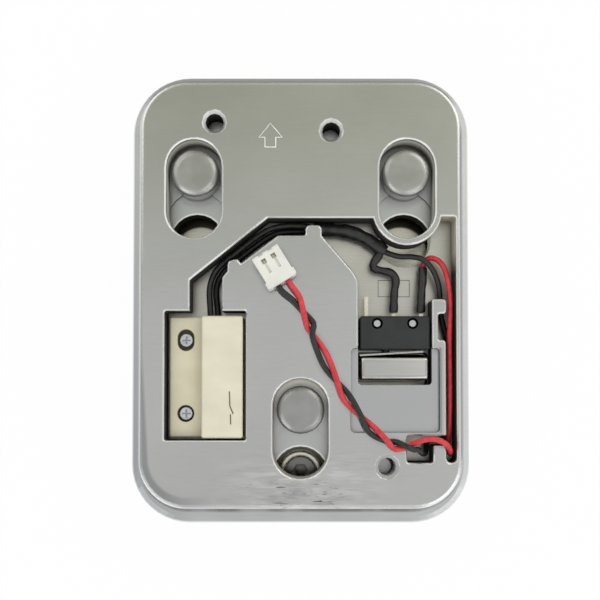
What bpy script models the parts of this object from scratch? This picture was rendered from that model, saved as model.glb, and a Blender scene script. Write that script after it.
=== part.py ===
"""Pedestrian push button, lying on its push face, with its open back up and its arrow along +Y.

Three plates make the body. The push plate at the bottom (the front in use) carries three headed studs.
The studs slide in the base plate, and springs on them hold the two plates apart. The back plate on top
has slots, pockets and channels cut through it for the stud heads, a reed sensor, a lever switch and wires.
"""

import math

import bmesh
import bpy
from mathutils import Matrix, Vector

MM = 0.001

# Fits
GAP = 0.3 * MM                  # between pieces that touch or seat
SLIDE_GAP = 0.15 * MM           # all round a stud or a plunger in its bore
EDGE = 0.26 * MM                # chamfer on machined edges
CUT_OVER = 1.0 * MM             # how far a cutter runs past the face it opens

# Press
PRESS_TRAVEL = 2.0 * MM
PRESS_SPARE = 0.6 * MM          # left between the plates when fully pressed

# Back plate
BACK_W = 59.3 * MM
BACK_L = 78.7 * MM
BACK_T = 6.0 * MM
BACK_R = 8.8 * MM
BACK_ROUND = 0.75 * MM          # on the outer edge of the back face

# Base plate
BASE_RIM_SIDE = 2.3 * MM        # beyond the back plate
BASE_RIM_TOP = 2.75 * MM
BASE_RIM_BOTTOM = 3.35 * MM
BASE_T = 4.4 * MM
BASE_R = 11.0 * MM
BASE_ROUND = 1.2 * MM
BASE_W = BACK_W + 2 * BASE_RIM_SIDE

# Push plate
PUSH_INSET = 0.5 * MM           # inside the base plate's outline
PUSH_T = 8.0 * MM
PUSH_R = BASE_R - PUSH_INSET
PUSH_ROUND = 2.0 * MM
PUSH_W = BASE_W - 2 * PUSH_INSET

# Levels
BASE_Z = PUSH_T + PRESS_TRAVEL + PRESS_SPARE
FLOOR_Z = BASE_Z + BASE_T
BACK_Z = FLOOR_Z + GAP
TOP_Z = BACK_Z + BACK_T
SEAT_Z = FLOOR_Z + GAP

# Edges of the back plate, which its features are placed from
LEFT = -BACK_W / 2
RIGHT = BACK_W / 2
TOP = BACK_L / 2
BOTTOM = -BACK_L / 2
BASE_TOP = TOP + BASE_RIM_TOP
BASE_BOTTOM = BOTTOM - BASE_RIM_BOTTOM

# Studs and their slots
STUD_INSET_X = 10.05 * MM
STUD_INSET_TOP = 16.65 * MM
STUD_INSET_BOTTOM = 18.05 * MM
STUD_HEAD_D = 8.9 * MM
STUD_ROUND = 0.8 * MM
STUD_SHANK_D = 5.0 * MM
STUD_DEPTH = 1.6 * MM           # head top below the back face
STUD_SEAT = 2.6 * MM            # shank's end in the push plate, below the spring pocket
SLOT_W = 10.2 * MM
SLOT_RUN = 8.1 * MM             # between the centres of a slot's round ends
SLOT_RISE = 0.7 * MM            # slot's upper centre above the stud
RIM_T = 1.3 * MM                # rim of the right slot in the wire channel
ACCESS_D = 10.2 * MM
ACCESS_DROP = 12.1 * MM         # access hole below its stud
RELIEF_R = 5.8 * MM
RELIEF_DROP = 8.5 * MM
RELIEF_DEPTH = 0.5 * MM

STUD_X = BACK_W / 2 - STUD_INSET_X
UPPER_STUD_Y = TOP - STUD_INSET_TOP
STUDS = {
    "left": (-STUD_X, UPPER_STUD_Y),
    "right": (STUD_X, UPPER_STUD_Y),
    "lower": (0.0, BOTTOM + STUD_INSET_BOTTOM),
}

# Return springs
SPRING_WIRE = 0.7 * MM
SPRING_D = 8.2 * MM             # outside
SPRING_CURLS = 4
SPRING_POINTS = 8               # a curl
SPRING_POCKET_DEPTH = 4.0 * MM
SPRING_SIDE_GAP = 0.4 * MM

# Fastening holes in the back plate, from its edges
TAPPED_D = 3.3 * MM
TAPPED_SINK_D = 4.5 * MM
TAPPED_HOLES = (
    (LEFT + 13.8 * MM, TOP - 7.7 * MM),
    (LEFT + 35.3 * MM, TOP - 9.3 * MM),
    (RIGHT - 13.85 * MM, BOTTOM + 7.7 * MM),
)

# Screws that hold the two plates together, from the base plate's hidden side
PLATE_SCREW_D = 2.5 * MM
PLATE_SCREW_HEAD_D = 4.5 * MM
PLATE_SCREW_HEAD_T = 1.8 * MM
PLATE_SCREW_REACH = 4.0 * MM    # into the back plate
PLATE_SCREW_INSET_X = 4.65 * MM
PLATE_SCREW_INSET_Y = 4.55 * MM
PLATE_SCREWS = {
    "upper_left": (LEFT + PLATE_SCREW_INSET_X, TOP - PLATE_SCREW_INSET_Y),
    "upper_right": (RIGHT - PLATE_SCREW_INSET_X, TOP - PLATE_SCREW_INSET_Y),
    "lower_left": (LEFT + PLATE_SCREW_INSET_X, BOTTOM + PLATE_SCREW_INSET_Y),
    "lower_right": (RIGHT - PLATE_SCREW_INSET_X, BOTTOM + PLATE_SCREW_INSET_Y),
}

# Reed sensor
SENSOR_W = 13.8 * MM
SENSOR_L = 22.4 * MM
SENSOR_T = 5.8 * MM
SENSOR_FLANGE_W = 6.2 * MM
SENSOR_FLANGE_T = 3.2 * MM
SENSOR_CORNER = 0.4 * MM
SENSOR_CLEAR_X = 0.55 * MM      # to the pocket's sides
SENSOR_CLEAR_TOP = 0.9 * MM
SENSOR_CLEAR_BOTTOM = 0.4 * MM
SENSOR_HOLE_D = 3.1 * MM
SENSOR_HOLE_SLOT = 0.9 * MM     # upper hole's extra length
SENSOR_HOLE_INSET_X = 3.1 * MM
SENSOR_HOLE_INSET_TOP = 4.35 * MM
SENSOR_HOLE_PITCH = 13.6 * MM
SENSOR_SCREW_D = 1.6 * MM
SENSOR_SCREW_HEAD_D = 2.4 * MM
SENSOR_SCREW_HEAD_T = 1.3 * MM
SENSOR_SCREW_HOLD = 3.5 * MM    # into the base plate
SENSOR_LAND_T = 1.0 * MM        # plastic left under each screw head
CAPSULE_D = 2.2 * MM
CAPSULE_L = 14.0 * MM
CAPSULE_BORE_D = 2.8 * MM
CAPSULE_INSET_X = 3.2 * MM      # from the sensor's right side
CAPSULE_FROM_TOP = 2.5 * MM
CAPSULE_LEAD_L = 2.0 * MM
CAPSULE_LEAD_R = 0.25 * MM
CAPSULE_SHOULDER = 0.6 * MM

# Sensor pocket and its neck
POCKET_INSET_X = 4.75 * MM
POCKET_INSET_TOP = 42.5 * MM
NECK_INSET = 4.6 * MM
NECK_W = 5.9 * MM

SENSOR_LEFT = LEFT + POCKET_INSET_X + SENSOR_CLEAR_X
SENSOR_RIGHT = SENSOR_LEFT + SENSOR_W
SENSOR_TOP = TOP - POCKET_INSET_TOP - SENSOR_CLEAR_TOP
SENSOR_BOTTOM = SENSOR_TOP - SENSOR_L
SENSOR_HOLE_X = SENSOR_LEFT + SENSOR_HOLE_INSET_X
SENSOR_SCREWS = {
    "upper": (SENSOR_HOLE_X, SENSOR_TOP - SENSOR_HOLE_INSET_TOP),
    "lower": (SENSOR_HOLE_X, SENSOR_TOP - SENSOR_HOLE_INSET_TOP - SENSOR_HOLE_PITCH),
}
CAPSULE_X = SENSOR_RIGHT - CAPSULE_INSET_X
CAPSULE_Z = SEAT_Z + SENSOR_T / 2

# Lever switch
SWITCH_W = 12.8 * MM
SWITCH_L = 6.1 * MM
SWITCH_T = 5.8 * MM
SWITCH_COVER_T = 0.9 * MM
SWITCH_WALL = 0.9 * MM
SWITCH_INSET_X = 5.95 * MM      # its right side from the right edge
SWITCH_INSET_TOP = 43.45 * MM
SWITCH_CLEAR = 0.35 * MM
SWITCH_PIN_D = 1.5 * MM
SWITCH_PIN_PITCH = 6.5 * MM
SWITCH_PIN_INSET = 1.35 * MM
SWITCH_PIN_HOLD = 2.5 * MM      # into the base plate
CAVITY_INSET_TOP = 2.8 * MM
TERMINAL_W = 0.7 * MM
TERMINAL_T = 0.4 * MM
TERMINAL_PITCH = 5.08 * MM
TERMINAL_IN = 3.7 * MM          # below the switch's upper side
BARE_TERMINAL_OUT = 3.8 * MM
SLEEVED_TERMINAL_OUT = 0.6 * MM
PLUNGER_D = 1.4 * MM
PLUNGER_COLLAR_D = 2.0 * MM
PLUNGER_OUT = 0.45 * MM
BLADE_T = 0.25 * MM
BLADE_W = 2.0 * MM
BLADE_RISE = 0.7 * MM           # above the case's lower wall
BLADE_END_GAP = 0.7 * MM

SWITCH_X = RIGHT - SWITCH_INSET_X - SWITCH_W / 2
SWITCH_TOP = TOP - SWITCH_INSET_TOP
SWITCH_BOTTOM = SWITCH_TOP - SWITCH_L
SWITCH_MID_Z = SEAT_Z + SWITCH_T / 2

# Lever
LEVER_T = 0.3 * MM
LEVER_W = 3.6 * MM
LEVER_INSET = 1.3 * MM          # pivot from the switch's right side
LEVER_DROP = 0.4 * MM           # pivot below the switch
LEVER_SLOPE = 0.0575            # radians at rest, its free left end lower
LEVER_EYE_D = 0.4 * MM

LEVER_L = SWITCH_W - LEVER_INSET
PIVOT_X = SWITCH_X + SWITCH_W / 2 - LEVER_INSET
PIVOT_Y = SWITCH_BOTTOM - LEVER_DROP
LEVER_Z = SWITCH_MID_Z - LEVER_W / 2
PLUNGER_X = PIVOT_X - 6.6 * MM

# Actuator block: its ramp lifts the lever as the push plate comes up
BLOCK_CLEAR = 0.45 * MM         # to the window's sides
BLOCK_W = SWITCH_W + 2 * SWITCH_CLEAR - 2 * BLOCK_CLEAR
BLOCK_FACE_L = 4.1 * MM
BLOCK_DEPTH = 1.2 * MM          # top below the back face
BLOCK_SOCKET = 1.0 * MM
BLOCK_EDGE = 0.5 * MM
CAM_REACH = 8.4 * MM            # from the pivot to where the ramp meets the lever
CAM_RISE = 0.455 * MM           # lift of the lever there in one full press
BLOCK_FACE_BACK = 0.07 * MM     # block's face above the ramp, behind the ramp's start
RAMP_SPARE = 0.2 * MM           # ramp left over at full press

# Window and shallow recess round the block
WINDOW_ABOVE = 0.5 * MM
WINDOW_BELOW = 1.0 * MM
RECESS_INSET_LEFT = 1.4 * MM    # outside the window's left side
RECESS_OVER = 0.2 * MM          # above the switch's lower side
RECESS_WALL = 1.2 * MM          # to the side channel
RECESS_L = 15.4 * MM
RECESS_DEPTH = 0.8 * MM
RECESS_R = 0.7 * MM

# Wire channels in the back plate, from its edges
CHANNEL_TOP_Y = TOP - 25.45 * MM
CHANNEL_BEND_X = LEFT + 23.65 * MM
NECK_BEND_Y = TOP - 36.85 * MM
ISLAND_TOP_Y = TOP - 28.65 * MM
SIDE_WALL = 1.15 * MM
SIDE_CHANNEL_W = 1.9 * MM
SIDE_CHANNEL_END_Y = BOTTOM + 8.45 * MM
NOTCH_W = 3.3 * MM
NOTCH_TOP_Y = TOP - 43.05 * MM
NOTCH_END_Y = TOP - 47.85 * MM
TAB_TOP_Y = TOP - 40.35 * MM
TAB_W = 1.8 * MM                # of the side channel left clear of the tab
WIRE_POCKET_W = 4.8 * MM
POST_W = 2.4 * MM
POST_TOP_Y = BOTTOM + 11.55 * MM
WIRE_POCKET_TOP_Y = BOTTOM + 13.35 * MM
LUG_T = 2.0 * MM                # lugs that hold wires down are undercut to this
LUG_INSET = 30.55 * MM
LUG_W = 3.0 * MM
LUG_REACH = 1.9 * MM
LUG_R = 0.8 * MM
ISLAND_BEND_INSET = 25.45 * MM
ISLAND_SIDE_DROP = 7.7 * MM
ISLAND_R = 4.5 * MM
NOTCH_RISE = 0.3 * MM
CORNER_R = 0.35 * MM
WIRE_POCKET_R = 0.6 * MM

# Corners of the knob beside the neck: across from the neck's right side, down from the island's top, radius
KNOB = (
    (3.5 * MM, 5.1 * MM, 0.0),
    (2.8 * MM, 4.3 * MM, 0.4 * MM),
    (1.0 * MM, 4.7 * MM, 0.8 * MM),
    (1.0 * MM, 6.5 * MM, 0.4 * MM),
    (0.0, 7.7 * MM, 0.6 * MM),
)
KNOB_W = 3.0 * MM
KNOB_TOP = 3.9 * MM             # undercut's top and foot below the island's top
KNOB_FOOT = 6.7 * MM

# Magnet under the reed sensor, in the push plate
MAGNET_D = 8.0 * MM
MAGNET_T = 3.0 * MM
MAGNET_AT = (CAPSULE_X, SENSOR_TOP - CAPSULE_FROM_TOP - CAPSULE_L / 2)

# Lock screw in its bush, seen through the lower access hole
LOCK_BUSH_D = 7.8 * MM
LOCK_BUSH_BORE = 6.4 * MM
LOCK_BUSH_IN = 2.5 * MM
LOCK_BUSH_UP = 1.0 * MM         # above the base plate's lower face
LOCK_SCREW_DROP = 0.8 * MM
LOCK_HEX = 3.0 * MM
LOCK_HEX_DEPTH = 2.0 * MM
LOCK_AT = (STUDS["lower"][0], STUDS["lower"][1] - ACCESS_DROP)

# Wires
WIRE_D = 1.05 * MM
REED_WIRE_D = 1.3 * MM
SLEEVE_D = 1.6 * MM
SPLICE_D = 2.6 * MM
WIRE_STEP = 1.6 * MM
PAIR_STEP = 1.2 * MM
PAIR_R = 0.65 * MM              # from the middle of the free pair to each wire

# Connector
CONNECTOR_W = 5.9 * MM
CONNECTOR_L = 6.3 * MM
CONNECTOR_T = 4.4 * MM
CONNECTOR_STEP = 0.3 * MM       # flange at the wire end, beyond the sides
CONNECTOR_FLANGE_L = 1.3 * MM
CONNECTOR_AT = (-4.8 * MM, 4.4 * MM)
CONNECTOR_TURN = math.radians(31.8)
CONTACT_PITCH = 2.0 * MM
CONTACT_W = 1.2 * MM
CONTACT_L = 4.2 * MM
CONTACT_CLEAR = 0.3 * MM
CONTACT_RISE = 1.9 * MM         # contacts' middle above the housing's underside
LATCH_W = 0.9 * MM
LATCH_L = 0.9 * MM
LATCH_END = 1.0 * MM
GROOVE_W = 0.5 * MM
GROOVE_DEPTH = 0.4 * MM
GROOVE_L = 2.8 * MM
NICK_W = 0.9 * MM               # nicks in the front edge
NICK_L = 0.4 * MM
NICK_DEPTH = 0.8 * MM
WIRE_IN = 0.9 * MM              # wire ends inside the housing
WIRE_OUT = 0.9 * MM             # straight run outside it
CONTACT_Z = TOP_Z + GAP + CONTACT_RISE

# How finely round shapes are stepped
FACET = 0.03 * MM               # how far a stepped arc may lie inside its true line
ROUND_STEPS = 24
SMALL_STEPS = 12
ROUND_OVER_STEPS = 4
BACK_ROUND_STEPS = 2
ROUTE_PARTS = 6
WELD = 0.01 * MM
SMOOTH_ANGLE = math.radians(35)

for old in list(bpy.data.objects):
    bpy.data.objects.remove(old, do_unlink=True)
PARTS = bpy.data.collections.new("pedestrian_push_button")
CUTTERS = bpy.data.collections.new("cutters")
bpy.context.scene.collection.children.link(PARTS)
bpy.context.scene.collection.children.link(CUTTERS)


def make_material(name, colour, roughness, metallic):
    """Principled material of one colour."""
    made = bpy.data.materials.new(name)
    made.use_nodes = True
    shader = made.node_tree.nodes["Principled BSDF"]
    shader.inputs["Base Color"].default_value = (*colour, 1.0)
    shader.inputs["Roughness"].default_value = roughness
    shader.inputs["Metallic"].default_value = metallic
    return made


PLATED = make_material("plated_metal", (0.42, 0.42, 0.40), 0.35, 1.0)
STEEL = make_material("turned_steel", (0.40, 0.40, 0.38), 0.32, 1.0)
SPRING_STEEL = make_material("spring_steel", (0.45, 0.45, 0.45), 0.35, 1.0)
CREAM = make_material("cream_plastic", (0.78, 0.74, 0.60), 0.5, 0.0)
GLASS = make_material("reed_glass", (0.60, 0.72, 0.66), 0.1, 0.0)
BLACK = make_material("black_plastic", (0.025, 0.026, 0.028), 0.45, 0.0)
GOLD = make_material("contact_metal", (0.75, 0.66, 0.42), 0.35, 1.0)
BLACK_WIRE = make_material("black_insulation", (0.025, 0.026, 0.026), 0.5, 0.0)
RED_WIRE = make_material("red_insulation", (0.65, 0.045, 0.06), 0.4, 0.0)
WHITE = make_material("white_nylon", (0.84, 0.84, 0.79), 0.45, 0.0)
MAGNET = make_material("magnet", (0.30, 0.30, 0.31), 0.35, 1.0)


def add_part(obj, look):
    """Gives a part its material and smooth shading."""
    obj.data.materials.clear()
    obj.data.materials.append(look)
    obj.data.shade_smooth()
    obj.data.set_sharp_from_angle(angle=SMOOTH_ANGLE)
    return obj


def new_solid(name, mesh):
    """Object for a mesh, in the parts' collection."""
    obj = bpy.data.objects.new(name, mesh)
    PARTS.objects.link(obj)
    return obj


def carry(obj, axis):
    """Parents a part to the empty on its joint's axis, and leaves it where it is."""
    obj.parent = axis
    obj.location = obj.location - axis.location
    return obj


def add_axis(name, x, y, z):
    """Empty on a joint's axis."""
    axis = bpy.data.objects.new(name, None)
    axis.location = (x, y, z)
    PARTS.objects.link(axis)
    return axis


def arc_step(radius):
    """Turn of one step along an arc."""
    return 2 * math.acos(1 - min(0.5, FACET / radius))


def rounded(corners):
    """Outline through corners (x, y, radius), with an arc at each corner that has a radius."""
    outline = []
    for index, (x, y, radius) in enumerate(corners):
        here = Vector((x, y))
        before = Vector(corners[index - 1][:2]) - here
        after = Vector(corners[(index + 1) % len(corners)][:2]) - here
        if radius == 0:
            outline.append(here)
            continue
        half = before.angle(after) / 2
        room = 0.48 * min(before.length, after.length)
        radius = min(radius, room * math.tan(half))
        back = radius / math.tan(half)
        middle = (before.normalized() + after.normalized()).normalized()
        centre = here + middle * (radius / math.sin(half))
        start = here + before.normalized() * back - centre
        end = here + after.normalized() * back - centre
        first = math.atan2(start.y, start.x)
        sweep = math.atan2(end.y, end.x) - first
        sweep = (sweep + math.pi) % math.tau - math.pi
        steps = max(2, math.ceil(abs(sweep) / arc_step(radius)))
        for step in range(steps + 1):
            angle = first + sweep * step / steps
            outline.append(centre + radius * Vector((math.cos(angle), math.sin(angle))))
    return outline


def rounded_rectangle(left, bottom, right, top, radius):
    """Rectangle with four equal round corners."""
    return rounded([(left, bottom, radius), (right, bottom, radius), (right, top, radius), (left, top, radius)])


def circle(x, y, diameter, steps=ROUND_STEPS):
    """Outline of a round hole."""
    points = []
    for step in range(steps):
        angle = math.tau * step / steps
        points.append(Vector((x, y)) + diameter / 2 * Vector((math.cos(angle), math.sin(angle))))
    return points


def obround(x, low, high, width):
    """Upright slot whose round ends have their centres at low and high."""
    steps = math.ceil(math.pi / arc_step(width / 2))
    points = []
    for middle, first in ((high, 0.0), (low, math.pi)):
        for step in range(steps + 1):
            angle = first + math.pi * step / steps
            points.append(Vector((x, middle)) + width / 2 * Vector((math.cos(angle), math.sin(angle))))
    return points


def turned_round(loop, counter_clockwise):
    """The loop, reversed if it runs the other way."""
    area = sum(a.x * b.y - b.x * a.y for a, b in zip(loop, loop[1:] + loop[:1]))
    return loop if (area > 0) == counter_clockwise else loop[::-1]


def as_mesh(curve_object):
    """Turns a curve object into a closed mesh object of the same name."""
    name = curve_object.name
    bpy.context.view_layer.update()
    graph = bpy.context.evaluated_depsgraph_get()
    mesh = bpy.data.meshes.new_from_object(curve_object.evaluated_get(graph))
    place = curve_object.matrix_world.copy()
    bpy.data.objects.remove(curve_object, do_unlink=True)
    shape = bmesh.new()
    shape.from_mesh(mesh)
    bmesh.ops.remove_doubles(shape, verts=shape.verts, dist=WELD)
    bmesh.ops.recalc_face_normals(shape, faces=shape.faces)
    shape.to_mesh(mesh)
    shape.free()
    solid = new_solid(name, mesh)
    solid.matrix_world = place
    return solid


def slab(name, loops, low, high, edge=0.0, rounds=0):
    """Plate between two heights. The first loop is its outline, and the others are holes through it."""
    curve = bpy.data.curves.new(name, "CURVE")
    curve.dimensions = "2D"
    curve.fill_mode = "BOTH"
    curve.extrude = (high - low) / 2 - edge
    curve.bevel_depth = edge
    curve.bevel_resolution = rounds
    curve.offset = -edge
    for index, loop in enumerate(loops):
        points = turned_round(loop, index == 0)
        spline = curve.splines.new("POLY")
        spline.points.add(len(points) - 1)
        for point, place in zip(spline.points, points):
            point.co = (place.x, place.y, 0.0, 1.0)
        spline.use_cyclic_u = True
    obj = bpy.data.objects.new(name, curve)
    PARTS.objects.link(obj)
    obj.location.z = (low + high) / 2
    return as_mesh(obj)


def turned(name, profile, x, y, z=0.0, closed=False, steps=ROUND_STEPS):
    """Turned piece on a vertical axis. Its profile of (radius, height) runs down its outer side."""
    shape = bmesh.new()
    points = [shape.verts.new((radius, 0.0, height)) for radius, height in profile]
    for above, below in zip(points, points[1:]):
        shape.edges.new((above, below))
    if closed:
        shape.edges.new((points[-1], points[0]))
    mesh = bpy.data.meshes.new(name)
    shape.to_mesh(mesh)
    shape.free()
    obj = new_solid(name, mesh)
    obj.location = (x, y, z)
    screw = obj.modifiers.new("turn", "SCREW")
    screw.steps = steps
    screw.render_steps = steps
    screw.use_merge_vertices = True
    screw.merge_threshold = WELD
    return obj


def cuboid(name, low, high, edge=0.0):
    """Box between two corners, with chamfered edges if asked."""
    shape = bmesh.new()
    bmesh.ops.create_cube(shape, size=1.0)
    size = Vector(high) - Vector(low)
    bmesh.ops.scale(shape, vec=size, verts=shape.verts)
    mesh = bpy.data.meshes.new(name)
    shape.to_mesh(mesh)
    shape.free()
    obj = new_solid(name, mesh)
    obj.location = (Vector(low) + Vector(high)) / 2
    if edge:
        add_bevel(obj, edge)
    return obj


def add_bevel(obj, width, segments=1):
    """Breaks the sharp edges of a piece."""
    bevel = obj.modifiers.new("edges", "BEVEL")
    bevel.width = width
    bevel.segments = segments
    bevel.limit_method = "ANGLE"
    bevel.angle_limit = math.radians(40)


def disc(name, x, y, diameter, low, high, steps=ROUND_STEPS):
    """Upright cylinder."""
    radius = diameter / 2
    return turned(name, [(0.0, high), (radius, high), (radius, low), (0.0, low)], x, y, steps=steps)


def cut(target, *cutters):
    """Takes the cutters' shapes out of a piece."""
    for cutter in cutters:
        boolean = target.modifiers.new(cutter.name, "BOOLEAN")
        boolean.operation = "DIFFERENCE"
        boolean.object = cutter
        CUTTERS.objects.link(cutter)
        PARTS.objects.unlink(cutter)
        cutter.hide_render = True
        cutter.display_type = "WIRE"
    return target


# Sides of the switch pocket and of the channels beside it
POCKET_L = SWITCH_X - SWITCH_W / 2 - SWITCH_CLEAR
POCKET_R = SWITCH_X + SWITCH_W / 2 + SWITCH_CLEAR
CHANNEL_R = RIGHT - SIDE_WALL
SIDE_L = CHANNEL_R - SIDE_CHANNEL_W
TAB_R = CHANNEL_R - TAB_W
NOTCH_L = CHANNEL_R - NOTCH_W

# Actuator block's faces, from the lever that it lifts
CAM_SLOPE = CAM_RISE / PRESS_TRAVEL
CAM_Y = PIVOT_Y - CAM_REACH * math.tan(LEVER_SLOPE) - LEVER_T / 2 - GAP
BLOCK_FRONT_Y = CAM_Y - BLOCK_FACE_BACK
BLOCK_BACK_Y = BLOCK_FRONT_Y - BLOCK_FACE_L
RAMP_TOP_Z = LEVER_Z + BLOCK_FACE_BACK / CAM_SLOPE
RAMP_END_Z = LEVER_Z - PRESS_TRAVEL - RAMP_SPARE
RAMP_END_Y = CAM_Y + CAM_SLOPE * (PRESS_TRAVEL + RAMP_SPARE)
BLOCK_TOP_Z = TOP_Z - BLOCK_DEPTH
BLOCK_FOOT_Z = PUSH_T - BLOCK_SOCKET + GAP
WINDOW_LOW_Y = BLOCK_BACK_Y - WINDOW_BELOW


def from_left(x, y, z):
    """Point in a channel, in mm from the back plate's left edge, top edge and floor."""
    return Vector((LEFT + x * MM, TOP - y * MM, FLOOR_Z + z * MM))


def from_right(x, y, z):
    """Point in a channel, in mm from the back plate's right edge, top edge and floor."""
    return Vector((RIGHT - x * MM, TOP - y * MM, FLOOR_Z + z * MM))


def from_low_right(x, y, z):
    """Point in a channel, in mm from the back plate's right edge, bottom edge and floor."""
    return Vector((RIGHT - x * MM, BOTTOM + y * MM, FLOOR_Z + z * MM))


def between(start, end, across, down):
    """Point part of the way from one point to another, by a share across and a share down."""
    return Vector((start.x + (end.x - start.x) * across, start.y + (end.y - start.y) * down, start.z))


# Wires that the channels hold, from their first ends
REED_ROUTES = {
    "upper_reed_lead": [
        from_left(13.05, 44.95, 3.35),
        from_left(12.85, 41.35, 3.35),
        from_left(12.75, 37.85, 3.35),
        from_left(14.05, 34.55, 3.35),
        from_left(17.25, 31.85, 3.35),
        from_left(21.05, 28.85, 3.35),
        from_left(24.45, 26.85, 3.35),
        from_left(28.15, 26.45, 3.35),
        from_left(31.75, 26.6, 3.2),
    ],
    "lower_reed_lead": [
        from_left(14.25, 44.95, 1.7),
        from_left(14.05, 41.35, 1.7),
        from_left(13.75, 38.15, 1.7),
        from_left(14.75, 35.45, 1.7),
        from_left(17.85, 32.65, 1.7),
        from_left(21.45, 29.85, 1.7),
        from_left(24.85, 27.65, 1.7),
        from_left(28.25, 27.25, 1.7),
        from_left(31.75, 27.2, 1.6),
    ],
}
SPLICE_START = from_left(32.1, 26.9, 2.2)
SPLICE_END = from_right(13.85, 31.15, 2.2)
SPLICE_ROUTE = [
    SPLICE_START,
    between(SPLICE_START, SPLICE_END, 0.2, 0.0),
    between(SPLICE_START, SPLICE_END, 0.43, 0.13),
    between(SPLICE_START, SPLICE_END, 0.66, 0.36),
    between(SPLICE_START, SPLICE_END, 0.84, 0.67),
    SPLICE_END,
]
CLOSED_SLEEVE_ROUTE = [
    from_right(12.35, 42.55, 3.2),
    from_right(12.15, 39.05, 3.0),
    from_right(11.85, 36.65, 2.6),
    from_right(12.85, 35.05, 2.4),
    from_right(14.85, 34.45, 2.3),
    from_right(16.05, 33.55, 2.3),
    from_right(15.45, 32.15, 2.3),
]
COMMON_SLEEVE_ROUTE = [
    from_right(7.27, 42.55, 3.2),
    from_right(7.15, 39.35, 3.0),
    from_right(6.85, 36.35, 2.4),
    from_right(6.73, 34.15, 2.0),
]
RED_HIGH = from_right(2.15, 47.35, 4.4)
RED_LOW = from_low_right(2.15, 14.85, 3.8)
RED_ROUTE = [
    from_right(6.7, 33.83, 2.0),
    from_right(6.35, 32.85, 2.2),
    from_right(5.15, 32.35, 2.8),
    from_right(3.45, 33.55, 3.6),
    from_right(2.45, 36.35, 4.2),
    from_right(2.05, 39.85, 4.5),
    from_right(2.05, 43.35, 4.5),
    RED_HIGH,
    between(RED_HIGH, RED_LOW, 0.5, 0.36),
    between(RED_HIGH, RED_LOW, 0.5, 0.73),
    RED_LOW,
    from_low_right(2.15, 13.1, 2.9),
    from_low_right(2.15, 11.9, 2.35),
    from_low_right(2.15, 11.2, 2.55),
]
BLACK_HIGH = from_right(2.05, 49.85, 2.3)
BLACK_LOW = from_low_right(2.15, 15.35, 1.5)
BLACK_ROUTE = [
    from_right(13.6, 31.32, 2.6),
    from_right(11.15, 32.15, 3.2),
    from_right(9.05, 32.25, 3.6),
    from_right(7.05, 32.75, 3.9),
    from_right(5.05, 34.75, 3.6),
    from_right(3.85, 37.75, 2.8),
    from_right(3.55, 40.35, 2.2),
    from_right(3.35, 43.35, 2.0),
    from_right(2.35, 47.35, 2.2),
    BLACK_HIGH,
    between(BLACK_HIGH, BLACK_LOW, 0.0, 0.33),
    between(BLACK_HIGH, BLACK_LOW, 0.0, 0.7),
    BLACK_LOW,
    from_low_right(2.25, 13.75, 1.3),
    from_low_right(2.55, 12.9, 1.2),
    from_low_right(3.25, 12.45, 1.2),
    from_low_right(4.45, 12.4, 1.3),
    from_low_right(5.45, 12.35, 1.5),
]

# Free pair from the connector, in mm: x, y, height over the back face, and twist in degrees (90 has red on top)
PAIR_ROUTE = (
    (-0.75, -1.1, 2.0, 10),
    (0.5, -3.4, 1.8, 90),
    (1.75, -5.7, 1.6, 180),
    (1.95, -6.6, 1.6, 230),
    (2.15, -7.5, 1.55, 275),
    (3.8, -10.75, 1.2, 355),
    (5.0, -13.3, 1.2, 370),
    (6.65, -16.15, 1.5, 450),
    (8.35, -19.0, 1.5, 540),
    (10.95, -22.4, 1.55, 630),
    (13.0, -24.95, 1.4, 720),
    (15.85, -27.05, 1.55, 810),
    (16.65, -27.5, 1.5, 855),
    (17.45, -27.75, 1.4, 900),
    (19.35, -27.95, 1.5, 990),
    (20.3, -27.9, 1.5, 1040),
    (21.2, -27.75, 1.25, 1085),
)
RED_TAIL = (
    (22.8, -26.6, 1.1),
    (24.7, -26.6, 1.1),
    (26.2, -27.3, 0.7),
    (27.1, -28.2, -0.1),
    (27.45, -29.0, -1.2),
    (27.5, -29.25, -2.3),
    (27.5, -28.95, -3.1),
    (27.5, -28.5, -3.5),
)
BLACK_TAIL = (
    (21.9, -28.95, 0.3),
    (22.6, -29.35, -1.1),
    (23.1, -29.1, -2.7),
    (23.4, -28.2, -4.0),
    (23.6, -27.4, -4.7),
    (23.8, -27.05, -4.8),
)


def slot_ends(x, y):
    """Heights of the two round ends of the slot round a stud."""
    high = y + SLOT_RISE
    return high - SLOT_RUN, high


def rim_arc():
    """Outer side of the right slot's rim, from the wire channel's top round to the notch beside it."""
    low, high = slot_ends(*STUDS["right"])
    radius = SLOT_W / 2 + RIM_T
    drop_left = max(-1.0, min(1.0, (CHANNEL_TOP_Y - low) / radius))
    drop_right = max(-1.0, min(1.0, (CHANNEL_TOP_Y + NOTCH_RISE - low) / radius))
    first = math.pi - math.asin(drop_left)
    last = math.tau + math.asin(drop_right)
    steps = math.ceil((last - first) / arc_step(radius))
    points = []
    for step in range(steps + 1):
        angle = first + (last - first) * step / steps
        points.append((STUD_X + radius * math.cos(angle), low + radius * math.sin(angle), 0.0))
    return points


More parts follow.
